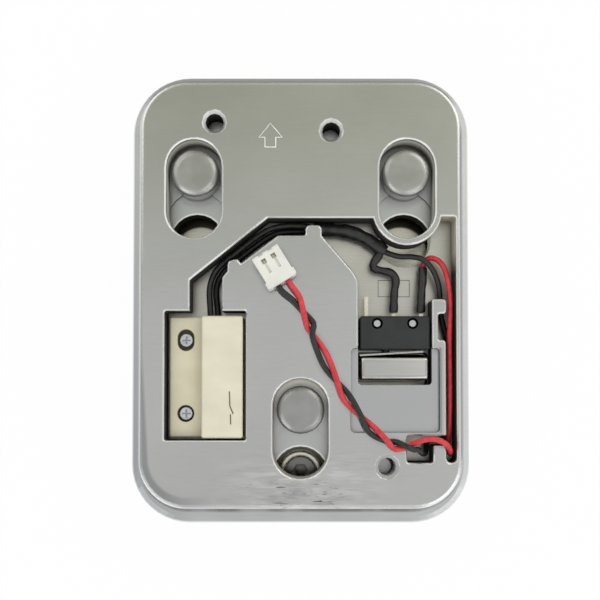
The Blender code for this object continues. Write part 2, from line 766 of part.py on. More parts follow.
def channel_outline():
    """The one opening that holds sensor, wires, switch and block, clockwise from the sensor pocket's foot."""
    pocket_left = LEFT + POCKET_INSET_X
    pocket_right = SENSOR_RIGHT + SENSOR_CLEAR_X
    pocket_top = TOP - POCKET_INSET_TOP
    pocket_bottom = SENSOR_BOTTOM - SENSOR_CLEAR_BOTTOM
    neck_left = pocket_left + NECK_INSET
    neck_right = neck_left + NECK_W
    lug_left = LEFT + LUG_INSET
    lug_right = lug_left + LUG_W
    lug_top = ISLAND_TOP_Y + LUG_REACH
    island_bend = LEFT + ISLAND_BEND_INSET
    corners = [
        (pocket_left, pocket_bottom, CORNER_R),
        (pocket_left, pocket_top, CORNER_R),
        (neck_left, pocket_top, 0.0),
        (neck_left, NECK_BEND_Y, CORNER_R),
        (CHANNEL_BEND_X, CHANNEL_TOP_Y, CORNER_R),
    ]
    corners += rim_arc()
    corners += [
        (CHANNEL_R, CHANNEL_TOP_Y + NOTCH_RISE, CORNER_R),
        (CHANNEL_R, SIDE_CHANNEL_END_Y, SIDE_CHANNEL_W / 2),
        (SIDE_L, SIDE_CHANNEL_END_Y, SIDE_CHANNEL_W / 2),
        (SIDE_L, POST_TOP_Y, CORNER_R),
        (SIDE_L - POST_W, POST_TOP_Y, CORNER_R),
        (SIDE_L - POST_W, SIDE_CHANNEL_END_Y, CORNER_R),
        (SIDE_L - POST_W - WIRE_POCKET_W, SIDE_CHANNEL_END_Y, WIRE_POCKET_R),
        (SIDE_L - POST_W - WIRE_POCKET_W, WIRE_POCKET_TOP_Y, CORNER_R),
        (SIDE_L, WIRE_POCKET_TOP_Y, CORNER_R),
        (SIDE_L, NOTCH_END_Y, WIRE_POCKET_R),
        (NOTCH_L, NOTCH_END_Y, CORNER_R),
        (NOTCH_L, NOTCH_TOP_Y, CORNER_R),
        (TAB_R, NOTCH_TOP_Y, WIRE_POCKET_R),
        (TAB_R, TAB_TOP_Y, WIRE_POCKET_R),
        (POCKET_R, TAB_TOP_Y, CORNER_R),
        (POCKET_R, WINDOW_LOW_Y, WIRE_POCKET_R),
        (POCKET_L, WINDOW_LOW_Y, WIRE_POCKET_R),
        (POCKET_L, ISLAND_TOP_Y - ISLAND_SIDE_DROP, ISLAND_R),
        (lug_right, ISLAND_TOP_Y, 0.0),
        (lug_right, lug_top, LUG_R),
        (lug_left, lug_top, LUG_R),
        (lug_left, ISLAND_TOP_Y, CORNER_R),
        (island_bend, ISLAND_TOP_Y, LUG_R),
    ]
    for across, down, radius in KNOB:
        corners.append((neck_right + across, ISLAND_TOP_Y - down, radius))
    corners += [
        (neck_right, pocket_top, 0.0),
        (pocket_right, pocket_top, CORNER_R),
        (pocket_right, pocket_bottom, CORNER_R),
    ]
    return rounded(corners)


def back_outline(beyond):
    """Back plate's outline, or one that lies all round beyond it."""
    return rounded_rectangle(LEFT - beyond, BOTTOM - beyond, RIGHT + beyond, TOP + beyond, BACK_R + beyond)


def make_back_plate():
    """Back plate, with everything that is cut through it, its recess and its undercut lugs."""
    loops = [back_outline(CUT_OVER), channel_outline()]
    loops += [obround(x, *slot_ends(x, y), SLOT_W) for x, y in STUDS.values()]
    loops += [circle(x, y, TAPPED_D, SMALL_STEPS) for x, y in TAPPED_HOLES]
    plate = slab("back_plate", loops, BACK_Z, TOP_Z, EDGE)
    low = BACK_Z - CUT_OVER
    trim = slab("outline_cutter", [back_outline(2 * CUT_OVER)], low, TOP_Z + CUT_OVER)
    form_low = low - BACK_ROUND - CUT_OVER
    form_top = TOP_Z + FACET / 2
    cut(trim, slab("outline_form", [back_outline(0.0)], form_low, form_top, BACK_ROUND, BACK_ROUND_STEPS))
    cut(plate, trim)

    recess_top = SWITCH_BOTTOM + RECESS_OVER
    recess = rounded_rectangle(
        POCKET_L - RECESS_INSET_LEFT, recess_top - RECESS_L, SIDE_L - RECESS_WALL, recess_top, RECESS_R
    )
    cut(plate, slab("recess_cutter", [recess], TOP_Z - RECESS_DEPTH, TOP_Z + CUT_OVER))

    lug_left = LEFT + LUG_INSET
    knob_x = LEFT + POCKET_INSET_X + NECK_INSET + NECK_W
    undercuts = {
        "lug": (lug_left - GAP, ISLAND_TOP_Y + GAP, lug_left + LUG_W + GAP, ISLAND_TOP_Y + LUG_REACH + GAP),
        "knob": (knob_x - GAP, ISLAND_TOP_Y - KNOB_FOOT, knob_x + KNOB_W, ISLAND_TOP_Y - KNOB_TOP),
        "tab": (NOTCH_L, NOTCH_TOP_Y - GAP, TAB_R + GAP, TAB_TOP_Y + GAP),
    }
    for name, (left, bottom, right, top) in undercuts.items():
        low = (left, bottom, BACK_Z - CUT_OVER)
        cut(plate, cuboid(name + "_undercut", low, (right, top, TOP_Z - LUG_T)))

    for index, (x, y) in enumerate(TAPPED_HOLES):
        sink = TAPPED_SINK_D / 2
        depth = sink - TAPPED_D / 2
        profile = [(0.0, TOP_Z + depth), (sink + depth, TOP_Z + depth), (0.0, TOP_Z - sink)]
        cut(plate, turned(f"sink_cutter_{index}", profile, x, y, steps=SMALL_STEPS))
    for name, (x, y) in PLATE_SCREWS.items():
        depth = BACK_Z + PLATE_SCREW_REACH + GAP
        bore = PLATE_SCREW_D + 2 * GAP
        cut(plate, disc(name + "_tap_cutter", x, y, bore, BACK_Z - CUT_OVER, depth, SMALL_STEPS))
    return add_part(plate, PLATED)


def make_base_plate():
    """Base plate: channel floor, stud guides, access holes, window and seats for screws and pins."""
    outline = rounded_rectangle(-BASE_W / 2, BASE_BOTTOM, BASE_W / 2, BASE_TOP, BASE_R)
    plate = slab("base_plate", [outline], BASE_Z, FLOOR_Z, BASE_ROUND, 1)
    under = BASE_Z - CUT_OVER
    over = FLOOR_Z + CUT_OVER
    for name, (x, y) in STUDS.items():
        relief_y = y - RELIEF_DROP
        relief_low = FLOOR_Z - RELIEF_DEPTH
        cut(
            plate,
            disc(name + "_relief_cutter", x, relief_y, 2 * RELIEF_R, relief_low, over),
            disc(name + "_access_cutter", x, y - ACCESS_DROP, ACCESS_D, under, over),
            disc(name + "_guide_cutter", x, y, STUD_SHANK_D + 2 * SLIDE_GAP, under, over),
        )
    window_top = RAMP_END_Y + WINDOW_ABOVE
    window = rounded_rectangle(POCKET_L, WINDOW_LOW_Y, POCKET_R, window_top, WIRE_POCKET_R)
    cut(plate, slab("window_cutter", [window], under, over))
    for name, (x, y) in PLATE_SCREWS.items():
        head_d = PLATE_SCREW_HEAD_D + 2 * GAP
        head_top = BASE_Z + PLATE_SCREW_HEAD_T + GAP
        cut(
            plate,
            disc(name + "_head_cutter", x, y, head_d, under, head_top, SMALL_STEPS),
            disc(name + "_shank_cutter", x, y, PLATE_SCREW_D + 2 * GAP, under, over, SMALL_STEPS),
        )
    for name, (x, y) in SENSOR_SCREWS.items():
        bore = SENSOR_SCREW_D + 2 * GAP
        cut(plate, disc(name + "_sensor_cutter", x, y, bore, under, over, SMALL_STEPS))
    for side in (-1, 1):
        x = SWITCH_X + side * SWITCH_PIN_PITCH / 2
        y = SWITCH_TOP - SWITCH_PIN_INSET
        low = FLOOR_Z - SWITCH_PIN_HOLD - GAP
        cut(plate, disc(f"pin_cutter_{side}", x, y, SWITCH_PIN_D + 2 * GAP, low, over, SMALL_STEPS))
    return add_part(plate, PLATED)


def make_push_plate(press):
    """Push plate: plain rounded front, with spring pockets and seats on its hidden inner side."""
    top = BASE_TOP - PUSH_INSET
    bottom = BASE_BOTTOM + PUSH_INSET
    outline = rounded_rectangle(-PUSH_W / 2, bottom, PUSH_W / 2, top, PUSH_R)
    plate = slab("push_plate", [outline], 0.0, PUSH_T, PUSH_ROUND, 1)
    over = PUSH_T + CUT_OVER
    pocket_floor = PUSH_T - SPRING_POCKET_DEPTH
    for name, (x, y) in STUDS.items():
        pocket_d = SPRING_D + 2 * SPRING_SIDE_GAP
        seat_low = pocket_floor - STUD_SEAT - GAP
        cut(
            plate,
            disc(name + "_pocket_cutter", x, y, pocket_d, pocket_floor, over),
            disc(name + "_seat_cutter", x, y, STUD_SHANK_D + 2 * GAP, seat_low, over),
        )
    socket = rounded_rectangle(
        SWITCH_X - BLOCK_W / 2 - GAP, BLOCK_BACK_Y - GAP, SWITCH_X + BLOCK_W / 2 + GAP, RAMP_END_Y + GAP, 0.0
    )
    cut(plate, slab("socket_cutter", [socket], PUSH_T - BLOCK_SOCKET, over))
    x, y = MAGNET_AT
    cut(plate, disc("magnet_cutter", x, y, MAGNET_D + 2 * GAP, PUSH_T - MAGNET_T - GAP, over))
    x, y = LOCK_AT
    cut(plate, disc("lock_cutter", x, y, LOCK_BUSH_D + 2 * GAP, PUSH_T - LOCK_BUSH_IN - GAP, over))
    return carry(add_part(plate, PLATED), press)


def make_studs(press):
    """Headed studs, whose shanks slide in the base plate and seat in the push plate."""
    head = STUD_HEAD_D / 2
    shank = STUD_SHANK_D / 2
    top = TOP_Z - STUD_DEPTH
    foot = PUSH_T - SPRING_POCKET_DEPTH - STUD_SEAT
    profile = [(0.0, top)]
    for step in range(ROUND_OVER_STEPS + 1):
        angle = math.pi / 2 * (1 - step / ROUND_OVER_STEPS)
        radius = head - STUD_ROUND + STUD_ROUND * math.cos(angle)
        profile.append((radius, top - STUD_ROUND + STUD_ROUND * math.sin(angle)))
    profile += [(head, FLOOR_Z + GAP), (shank, FLOOR_Z + GAP), (shank, foot), (0.0, foot)]
    for name, (x, y) in STUDS.items():
        carry(add_part(turned(name + "_stud", profile, x, y), STEEL), press)


def least_gap(points, wire, curl):
    """Least distance between the surfaces of neighbouring curls."""
    apart = min(
        (here - there).length
        for index, here in enumerate(points)
        for there in points[index + curl // 2 + 1:]
    )
    return apart - wire


def make_springs():
    """Return springs on the stud shanks, from the push plate's pockets to the base plate."""
    low = PUSH_T - SPRING_POCKET_DEPTH + GAP + SPRING_WIRE / 2
    high = BASE_Z - GAP - SPRING_WIRE / 2
    radius = (SPRING_D - SPRING_WIRE) / 2
    count = SPRING_CURLS * SPRING_POINTS
    points = []
    for step in range(count + 1):
        angle = math.tau * step / SPRING_POINTS
        height = low + (high - low) * step / count
        points.append(Vector((radius * math.cos(angle), radius * math.sin(angle), height)))
    print(f"return spring: least gap {least_gap(points, SPRING_WIRE, SPRING_POINTS) / MM:.2f} mm")
    for name, (x, y) in STUDS.items():
        spring = tube(name + "_return_spring", points, SPRING_WIRE, SPRING_STEEL, 1)
        spring.location = (x, y, 0.0)


def make_plate_screws():
    """Pan screws that hold the back plate to the base plate."""
    head = PLATE_SCREW_HEAD_D / 2
    shank = PLATE_SCREW_D / 2
    head_top = BASE_Z + PLATE_SCREW_HEAD_T
    tip = BACK_Z + PLATE_SCREW_REACH
    profile = [(0.0, tip), (shank, tip), (shank, head_top), (head, head_top), (head, BASE_Z), (0.0, BASE_Z)]
    for name, (x, y) in PLATE_SCREWS.items():
        add_part(turned(name + "_plate_screw", profile, x, y, steps=SMALL_STEPS), STEEL)


def smooth_route(points, step):
    """Even points along a smooth curve through a route's own points."""
    route = [Vector(point) for point in points]
    spans = [(after - before).length for before, after in zip(route, route[1:])]
    slopes = [(route[1] - route[0]) / spans[0]]
    for index in range(1, len(route) - 1):
        slopes.append((route[index + 1] - route[index - 1]) / (spans[index - 1] + spans[index]))
    slopes.append((route[-1] - route[-2]) / spans[-1])
    fine = []
    for index, span in enumerate(spans):
        for part in range(ROUTE_PARTS):
            t = part / ROUTE_PARTS
            fine.append(
                route[index] * (2 * t**3 - 3 * t**2 + 1)
                + slopes[index] * span * (t**3 - 2 * t**2 + t)
                + route[index + 1] * (3 * t**2 - 2 * t**3)
                + slopes[index + 1] * span * (t**3 - t**2)
            )
    fine.append(route[-1])
    run = [0.0]
    for before, after in zip(fine, fine[1:]):
        run.append(run[-1] + (after - before).length)
    count = max(2, round(run[-1] / step))
    even = []
    here = 0
    for index in range(count + 1):
        target = run[-1] * index / count
        while here < len(fine) - 2 and run[here + 1] < target:
            here += 1
        share = (target - run[here]) / (run[here + 1] - run[here])
        even.append(fine[here].lerp(fine[here + 1], share))
    return even


def tube(name, points, diameter, look, resolution=2):
    """Round tube with closed ends along a line of points."""
    curve = bpy.data.curves.new(name, "CURVE")
    curve.dimensions = "3D"
    curve.bevel_depth = diameter / 2
    curve.bevel_resolution = resolution
    curve.use_fill_caps = True
    spline = curve.splines.new("POLY")
    spline.points.add(len(points) - 1)
    for point, place in zip(spline.points, points):
        point.co = (*place, 1.0)
    curve.materials.append(look)
    return new_solid(name, curve)


def lay_along_y(obj):
    """Turns a piece made on a vertical axis so that its top points along +Y."""
    obj.rotation_euler = (-math.pi / 2, 0.0, 0.0)
    return obj


def run_along_x(obj):
    """Turns a slab drawn in (y, z) so that its thickness runs along X."""
    obj.data.transform(obj.matrix_world)
    obj.matrix_world = Matrix.Identity(4)
    obj.data.transform(Matrix(((0, 0, 1, 0), (1, 0, 0, 0), (0, 1, 0, 0), (0, 0, 0, 1))))
    return obj


def run_along_y(obj):
    """Turns a slab drawn in (z, x) so that its thickness runs along Y."""
    obj.data.transform(obj.matrix_world)
    obj.matrix_world = Matrix.Identity(4)
    obj.data.transform(Matrix(((0, 1, 0, 0), (0, 0, 1, 0), (1, 0, 0, 0), (0, 0, 0, 1))))
    return obj


def make_sensor():
    """Reed sensor: stepped housing with its screws and the glass reed in its bore."""
    middle = SENSOR_LEFT + SENSOR_FLANGE_W
    flange_top = SEAT_Z + SENSOR_FLANGE_T
    body_top = SEAT_Z + SENSOR_T
    section = rounded([
        (SEAT_Z, SENSOR_LEFT, 0.0),
        (SEAT_Z, SENSOR_RIGHT, 0.0),
        (body_top, SENSOR_RIGHT, SENSOR_CORNER),
        (body_top, middle, SENSOR_CORNER),
        (flange_top, middle, 0.0),
        (flange_top, SENSOR_LEFT, SENSOR_CORNER),
    ])
    housing = run_along_y(slab("reed_sensor_housing", [section], SENSOR_BOTTOM, SENSOR_TOP, EDGE))
    land = SEAT_Z + SENSOR_LAND_T
    over = flange_top + CUT_OVER
    slots = {"upper": SENSOR_HOLE_SLOT / 2, "lower": WELD}
    for name, (x, y) in SENSOR_SCREWS.items():
        mouth = obround(x, y - slots[name], y + slots[name], SENSOR_HOLE_D)
        bore = SENSOR_SCREW_D + 2 * GAP
        cut(
            housing,
            slab(name + "_mouth_cutter", [mouth], land, over),
            disc(name + "_bore_cutter", x, y, bore, SEAT_Z - CUT_OVER, over, SMALL_STEPS),
        )
    bore_depth = CAPSULE_FROM_TOP + CAPSULE_L + GAP
    bore = disc("capsule_cutter", CAPSULE_X, SENSOR_TOP, CAPSULE_BORE_D, -bore_depth, CUT_OVER, SMALL_STEPS)
    bore.location.z = CAPSULE_Z
    cut(housing, lay_along_y(bore))
    for name, route in REED_ROUTES.items():
        x, y, z = route[0]
        socket = disc(name + "_socket_cutter", x, y, REED_WIRE_D + 2 * GAP, -GAP, SENSOR_TOP - y + CUT_OVER, SMALL_STEPS)
        socket.location.z = z
        cut(housing, lay_along_y(socket))
    add_part(housing, CREAM)

    half = CAPSULE_L / 2
    glass = CAPSULE_D / 2
    glass_end = half - CAPSULE_LEAD_L
    profile = [
        (0.0, half),
        (CAPSULE_LEAD_R, half),
        (CAPSULE_LEAD_R, glass_end),
        (glass, glass_end - CAPSULE_SHOULDER),
        (glass, CAPSULE_SHOULDER - glass_end),
        (CAPSULE_LEAD_R, -glass_end),
        (CAPSULE_LEAD_R, -half),
        (0.0, -half),
    ]
    capsule_y = SENSOR_TOP - CAPSULE_FROM_TOP - half
    capsule = turned("reed_capsule", profile, CAPSULE_X, capsule_y, CAPSULE_Z, steps=SMALL_STEPS)
    add_part(lay_along_y(capsule), GLASS)

    head = SENSOR_SCREW_HEAD_D / 2
    shank = SENSOR_SCREW_D / 2
    under = land + GAP
    top = under + SENSOR_SCREW_HEAD_T
    foot = FLOOR_Z - SENSOR_SCREW_HOLD
    profile = [(0.0, top), (head, top), (head, under), (shank, under), (shank, foot), (0.0, foot)]
    for name, (x, y) in SENSOR_SCREWS.items():
        add_part(turned(name + "_sensor_screw", profile, x, y, steps=SMALL_STEPS), STEEL)


def make_switch(lever_axis, plunger_axis):
    """Lever switch: case and cover on two pins, terminals, contact blade, plunger and lever."""
    left = SWITCH_X - SWITCH_W / 2
    right = SWITCH_X + SWITCH_W / 2
    case_top = SEAT_Z + SWITCH_T - SWITCH_COVER_T - GAP
    cover_top = SEAT_Z + SWITCH_T
    cavity_low = SWITCH_BOTTOM + SWITCH_WALL
    cavity_high = SWITCH_TOP - CAVITY_INSET_TOP
    case = cuboid("switch_case", (left, SWITCH_BOTTOM, SEAT_Z), (right, SWITCH_TOP, case_top), EDGE)
    cover = cuboid(
        "switch_cover", (left, SWITCH_BOTTOM, case_top + GAP), (right, SWITCH_TOP, cover_top), EDGE
    )
    cut(
        case,
        cuboid(
            "cavity_cutter",
            (left + SWITCH_WALL, cavity_low, SEAT_Z + SWITCH_WALL),
            (right - SWITCH_WALL, cavity_high, case_top + CUT_OVER),
        ),
    )
    pin_y = SWITCH_TOP - SWITCH_PIN_INSET
    for side, name in ((-1, "left"), (1, "right")):
        x = SWITCH_X + side * SWITCH_PIN_PITCH / 2
        bore = SWITCH_PIN_D + 2 * GAP
        for piece in (case, cover):
            low = SEAT_Z - CUT_OVER
            cut(piece, disc(f"{piece.name}_{name}_cutter", x, pin_y, bore, low, cover_top + CUT_OVER, SMALL_STEPS))
        foot = FLOOR_Z - SWITCH_PIN_HOLD
        pin = disc(name + "_switch_pin", x, pin_y, SWITCH_PIN_D, foot, cover_top - GAP, SMALL_STEPS)
        add_part(pin, STEEL)

    terminals = (
        (-1, "open_terminal", BARE_TERMINAL_OUT),
        (0, "closed_terminal", SLEEVED_TERMINAL_OUT),
        (1, "common_terminal", SLEEVED_TERMINAL_OUT),
    )
    for side, name, out in terminals:
        x = SWITCH_X + side * TERMINAL_PITCH
        half = Vector((TERMINAL_W / 2, 0.0, TERMINAL_T / 2))
        low = Vector((x, SWITCH_TOP - TERMINAL_IN, SWITCH_MID_Z)) - half
        high = Vector((x, SWITCH_TOP + out, SWITCH_MID_Z)) + half
        spare = Vector((GAP, GAP, GAP))
        over = Vector((GAP, CUT_OVER, GAP))
        cut(case, cuboid(name + "_cutter", low - spare, high + over))
        add_part(cuboid(name, low, high), GOLD)

    hole = disc("plunger_cutter", PLUNGER_X, SWITCH_BOTTOM, PLUNGER_D + 2 * SLIDE_GAP, -CUT_OVER, CUT_OVER, SMALL_STEPS)
    hole.location.z = SWITCH_MID_Z
    cut(case, lay_along_y(hole))
    add_part(case, BLACK)
    add_part(cover, BLACK)

    stem = PLUNGER_D / 2
    collar = PLUNGER_COLLAR_D / 2
    blade_low = SWITCH_WALL + BLADE_RISE
    profile = [
        (0.0, blade_low - GAP),
        (collar, blade_low - GAP),
        (collar, SWITCH_WALL + SLIDE_GAP),
        (stem, SWITCH_WALL + SLIDE_GAP),
        (stem, -PLUNGER_OUT),
        (0.0, -PLUNGER_OUT),
    ]
    plunger = turned("switch_plunger", profile, PLUNGER_X, SWITCH_BOTTOM, SWITCH_MID_Z, steps=SMALL_STEPS)
    carry(add_part(lay_along_y(plunger), BLACK), plunger_axis)
    blade = cuboid(
        "contact_blade",
        (left + SWITCH_WALL + BLADE_END_GAP, SWITCH_BOTTOM + blade_low, SWITCH_MID_Z - BLADE_W / 2),
        (right - SWITCH_WALL - BLADE_END_GAP, SWITCH_BOTTOM + blade_low + BLADE_T, SWITCH_MID_Z + BLADE_W / 2),
    )
    carry(add_part(blade, GOLD), plunger_axis)

    eye = LEVER_EYE_D / 2
    start = math.asin(LEVER_T / 2 / eye)
    outline = [Vector((-LEVER_L, LEVER_T / 2)), Vector((-LEVER_L, -LEVER_T / 2))]
    for step in range(SMALL_STEPS + 1):
        angle = start - math.pi + (math.tau - 2 * start) * step / SMALL_STEPS
        outline.append(Vector((eye * math.cos(angle), eye * math.sin(angle))))
    lever = slab("switch_lever", [outline], LEVER_Z, LEVER_Z + LEVER_W)
    lever.location.x = PIVOT_X
    lever.location.y = PIVOT_Y
    lever.rotation_euler.z = LEVER_SLOPE
    carry(add_part(lever, STEEL), lever_axis)


def make_actuator(press):
    """Block on the push plate that stands up through the window, with a ramp on its lever side."""
    section = [
        Vector((BLOCK_BACK_Y, BLOCK_FOOT_Z)),
        Vector((RAMP_END_Y, BLOCK_FOOT_Z)),
        Vector((RAMP_END_Y, RAMP_END_Z)),
        Vector((BLOCK_FRONT_Y, RAMP_TOP_Z)),
        Vector((BLOCK_FRONT_Y, BLOCK_TOP_Z)),
        Vector((BLOCK_BACK_Y, BLOCK_TOP_Z)),
    ]
    block = slab("actuator_block", [section], SWITCH_X - BLOCK_W / 2, SWITCH_X + BLOCK_W / 2)
    run_along_x(block)
    add_bevel(block, BLOCK_EDGE, 2)
    carry(add_part(block, PLATED), press)


def make_push_fittings(press):
    """Magnet for the reed sensor, and the lock screw in its bush."""
    x, y = MAGNET_AT
    magnet = disc("sensor_magnet", x, y, MAGNET_D, PUSH_T - MAGNET_T, PUSH_T)
    carry(add_part(magnet, MAGNET), press)
    x, y = LOCK_AT
    outer = LOCK_BUSH_D / 2
    inner = LOCK_BUSH_BORE / 2
    low = PUSH_T - LOCK_BUSH_IN
    top = BASE_Z + LOCK_BUSH_UP
    ring = [(outer, top), (outer, low), (inner, low), (inner, top)]
    carry(add_part(turned("lock_bush", ring, x, y, closed=True), STEEL), press)
    screw_top = top - LOCK_SCREW_DROP
    screw = disc("lock_screw", x, y, LOCK_BUSH_BORE - 2 * GAP, low, screw_top)
    hex_low = screw_top - LOCK_HEX_DEPTH
    cut(screw, disc("lock_hex_cutter", x, y, LOCK_HEX, hex_low, screw_top + CUT_OVER, 6))
    carry(add_part(screw, STEEL), press)


def on_connector(obj):
    """Moves a piece drawn about the connector's middle to where the connector lies."""
    turn = Matrix.Rotation(CONNECTOR_TURN, 4, "Z")
    obj.location = turn @ obj.location + Vector((*CONNECTOR_AT, CONTACT_Z))
    obj.rotation_euler.z = CONNECTOR_TURN
    return obj


def connector_point(side, along):
    """Point on one of the connector's contact lines: along is negative on the wire side."""
    turn = Matrix.Rotation(CONNECTOR_TURN, 3, "Z")
    return turn @ Vector((side * CONTACT_PITCH / 2, along, 0.0)) + Vector((*CONNECTOR_AT, CONTACT_Z))


def make_connector():
    """Two-way plug housing on the back plate, with its contacts in open cavities."""
    half_w = CONNECTOR_W / 2
    half_l = CONNECTOR_L / 2
    low = TOP_Z + GAP - CONTACT_Z
    top = low + CONNECTOR_T
    housing = cuboid("connector_housing", (-half_w, -half_l, low), (half_w, half_l, top), EDGE)
    on_connector(housing)
    half = CONTACT_W / 2
    wide = half + CONTACT_CLEAR
    back = WIRE_IN - half_l
    for side, name in ((-1, "left"), (1, "right")):
        x = side * CONTACT_PITCH / 2
        contact = cuboid(
            name + "_connector_contact", (x - half, back + GAP, -half), (x + half, back + GAP + CONTACT_L, half)
        )
        add_part(on_connector(contact), GOLD)
        over = half_l + CUT_OVER
        cavity = cuboid(name + "_cavity_cutter", (x - wide, -over, -wide), (x + wide, over, wide))
        window = cuboid(
            name + "_window_cutter",
            (x - LATCH_W / 2, half_l - LATCH_END - LATCH_L, 0.0),
            (x + LATCH_W / 2, half_l - LATCH_END, CONNECTOR_T),
        )
        groove = cuboid(
            name + "_groove_cutter",
            (x - GROOVE_W / 2, half_l - LATCH_END - GROOVE_L, top - GROOVE_DEPTH),
            (x + GROOVE_W / 2, half_l - LATCH_END - LATCH_L / 2, top + CUT_OVER),
        )
        nick = cuboid(
            name + "_nick_cutter",
            (x - NICK_W / 2, half_l - NICK_L, top - NICK_DEPTH),
            (x + NICK_W / 2, over, top + CUT_OVER),
        )
        inner, outer = sorted((side * (half_w - CONNECTOR_STEP), side * (half_w + CUT_OVER)))
        step = cuboid(
            name + "_step_cutter",
            (inner, CONNECTOR_FLANGE_L - half_l, low - CUT_OVER),
            (outer, over, top + CUT_OVER),
        )
        for cutter in (cavity, window, groove, nick, step):
            cut(housing, on_connector(cutter))
    add_part(housing, WHITE)


def pair_points(side):
    """One wire of the twisted free pair: side 1 is the red wire, and -1 the black one."""
    points = []
    for index, (x, y, height, twist) in enumerate(PAIR_ROUTE):
        before = Vector(PAIR_ROUTE[max(index - 1, 0)][:2])
        after = Vector(PAIR_ROUTE[min(index + 1, len(PAIR_ROUTE) - 1)][:2])
        along = (after - before).normalized()
        across = Vector((-along.y, along.x, 0.0)) * math.cos(math.radians(twist))
        up = Vector((0.0, 0.0, math.sin(math.radians(twist))))
        middle = Vector((x * MM, y * MM, TOP_Z + height * MM))
        points.append(middle + (across + up) * side * PAIR_R)
    return points


def make_wires():
    """Wires that the channels hold, and the free pair from the wire pocket to the connector."""
    for name, route in REED_ROUTES.items():
        tube(name, smooth_route(route, WIRE_STEP), REED_WIRE_D, BLACK_WIRE, 1)
    tube("splice_sleeve", smooth_route(SPLICE_ROUTE, WIRE_STEP), SPLICE_D, BLACK_WIRE)
    tube("closed_terminal_sleeve", smooth_route(CLOSED_SLEEVE_ROUTE, WIRE_STEP), SLEEVE_D, BLACK_WIRE)
    tube("common_terminal_sleeve", smooth_route(COMMON_SLEEVE_ROUTE, WIRE_STEP), SLEEVE_D, BLACK_WIRE)
    tube("red_channel_wire", smooth_route(RED_ROUTE, WIRE_STEP), WIRE_D, RED_WIRE, 1)
    tube("black_channel_wire", smooth_route(BLACK_ROUTE, WIRE_STEP), WIRE_D, BLACK_WIRE, 1)
    free = (
        ("red_free_wire", 1, RED_TAIL, RED_WIRE),
        ("black_free_wire", -1, BLACK_TAIL, BLACK_WIRE),
    )
    for name, side, tail, look in free:
        start = [connector_point(side, WIRE_IN - CONNECTOR_L / 2), connector_point(side, -CONNECTOR_L / 2 - WIRE_OUT)]
        end = [Vector((x * MM, y * MM, TOP_Z + height * MM)) for x, y, height in tail]
        tube(name, smooth_route(start + pair_points(side) + end, PAIR_STEP), WIRE_D, look)


press_axis = add_axis("press_axis", 0.0, 0.0, PUSH_T)
lever_pivot = add_axis("lever_pivot", PIVOT_X, PIVOT_Y, SWITCH_MID_Z)
plunger_line = add_axis("plunger_line", PLUNGER_X, SWITCH_BOTTOM, SWITCH_MID_Z)
make_back_plate()
make_base_plate()
make_push_plate(press_axis)
make_studs(press_axis)
make_springs()
make_plate_screws()
make_sensor()
make_switch(lever_pivot, plunger_line)
make_actuator(press_axis)
make_push_fittings(press_axis)
make_connector()
make_wires()
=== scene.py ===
"""Looks of the pedestrian push button: photo's camera, studio light, materials and fine pieces."""

import math

import bmesh
import bpy
from mathutils import Matrix, Vector


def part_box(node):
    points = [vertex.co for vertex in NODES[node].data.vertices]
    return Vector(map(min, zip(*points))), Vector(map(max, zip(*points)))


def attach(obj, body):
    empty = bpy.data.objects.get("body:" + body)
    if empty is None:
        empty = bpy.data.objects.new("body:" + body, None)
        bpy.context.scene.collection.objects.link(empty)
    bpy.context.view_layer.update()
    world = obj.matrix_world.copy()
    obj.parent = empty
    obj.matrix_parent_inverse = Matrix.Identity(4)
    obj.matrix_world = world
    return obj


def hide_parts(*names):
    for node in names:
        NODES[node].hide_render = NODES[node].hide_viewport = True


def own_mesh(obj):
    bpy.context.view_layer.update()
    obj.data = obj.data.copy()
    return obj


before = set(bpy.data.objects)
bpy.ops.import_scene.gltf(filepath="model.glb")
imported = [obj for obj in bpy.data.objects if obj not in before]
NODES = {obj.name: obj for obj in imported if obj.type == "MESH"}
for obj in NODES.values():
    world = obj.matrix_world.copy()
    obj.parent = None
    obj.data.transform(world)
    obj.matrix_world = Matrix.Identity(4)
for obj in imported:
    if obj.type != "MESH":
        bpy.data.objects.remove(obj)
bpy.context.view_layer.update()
MM = 0.001
TOP_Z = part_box("back_plate")[1].z
SCENE = bpy.context.scene

# Camera, placed as the photo's
camera = bpy.data.cameras.new("photo_camera")
camera.lens = 58.8
camera.shift_y = 0.1
camera.clip_start = 0.005
camera_object = bpy.data.objects.new("photo_camera", camera)
camera_object.location = (-0.0001, -0.01735, TOP_Z + 0.1789)
camera_object.rotation_euler = (math.radians(1.66), 0.0, 0.0)
SCENE.collection.objects.link(camera_object)
SCENE.camera = camera_object
SCENE.view_settings.view_transform = "Standard"


def srgb(red, green, blue):
    """Linear colour of a colour written in 0 to 255 steps."""
    steps = []
    for value in (red, green, blue):
        value /= 255
        steps.append(value / 12.92 if value <= 0.04045 else ((value + 0.055) / 1.055) ** 2.4)
    return (*steps, 1.0)


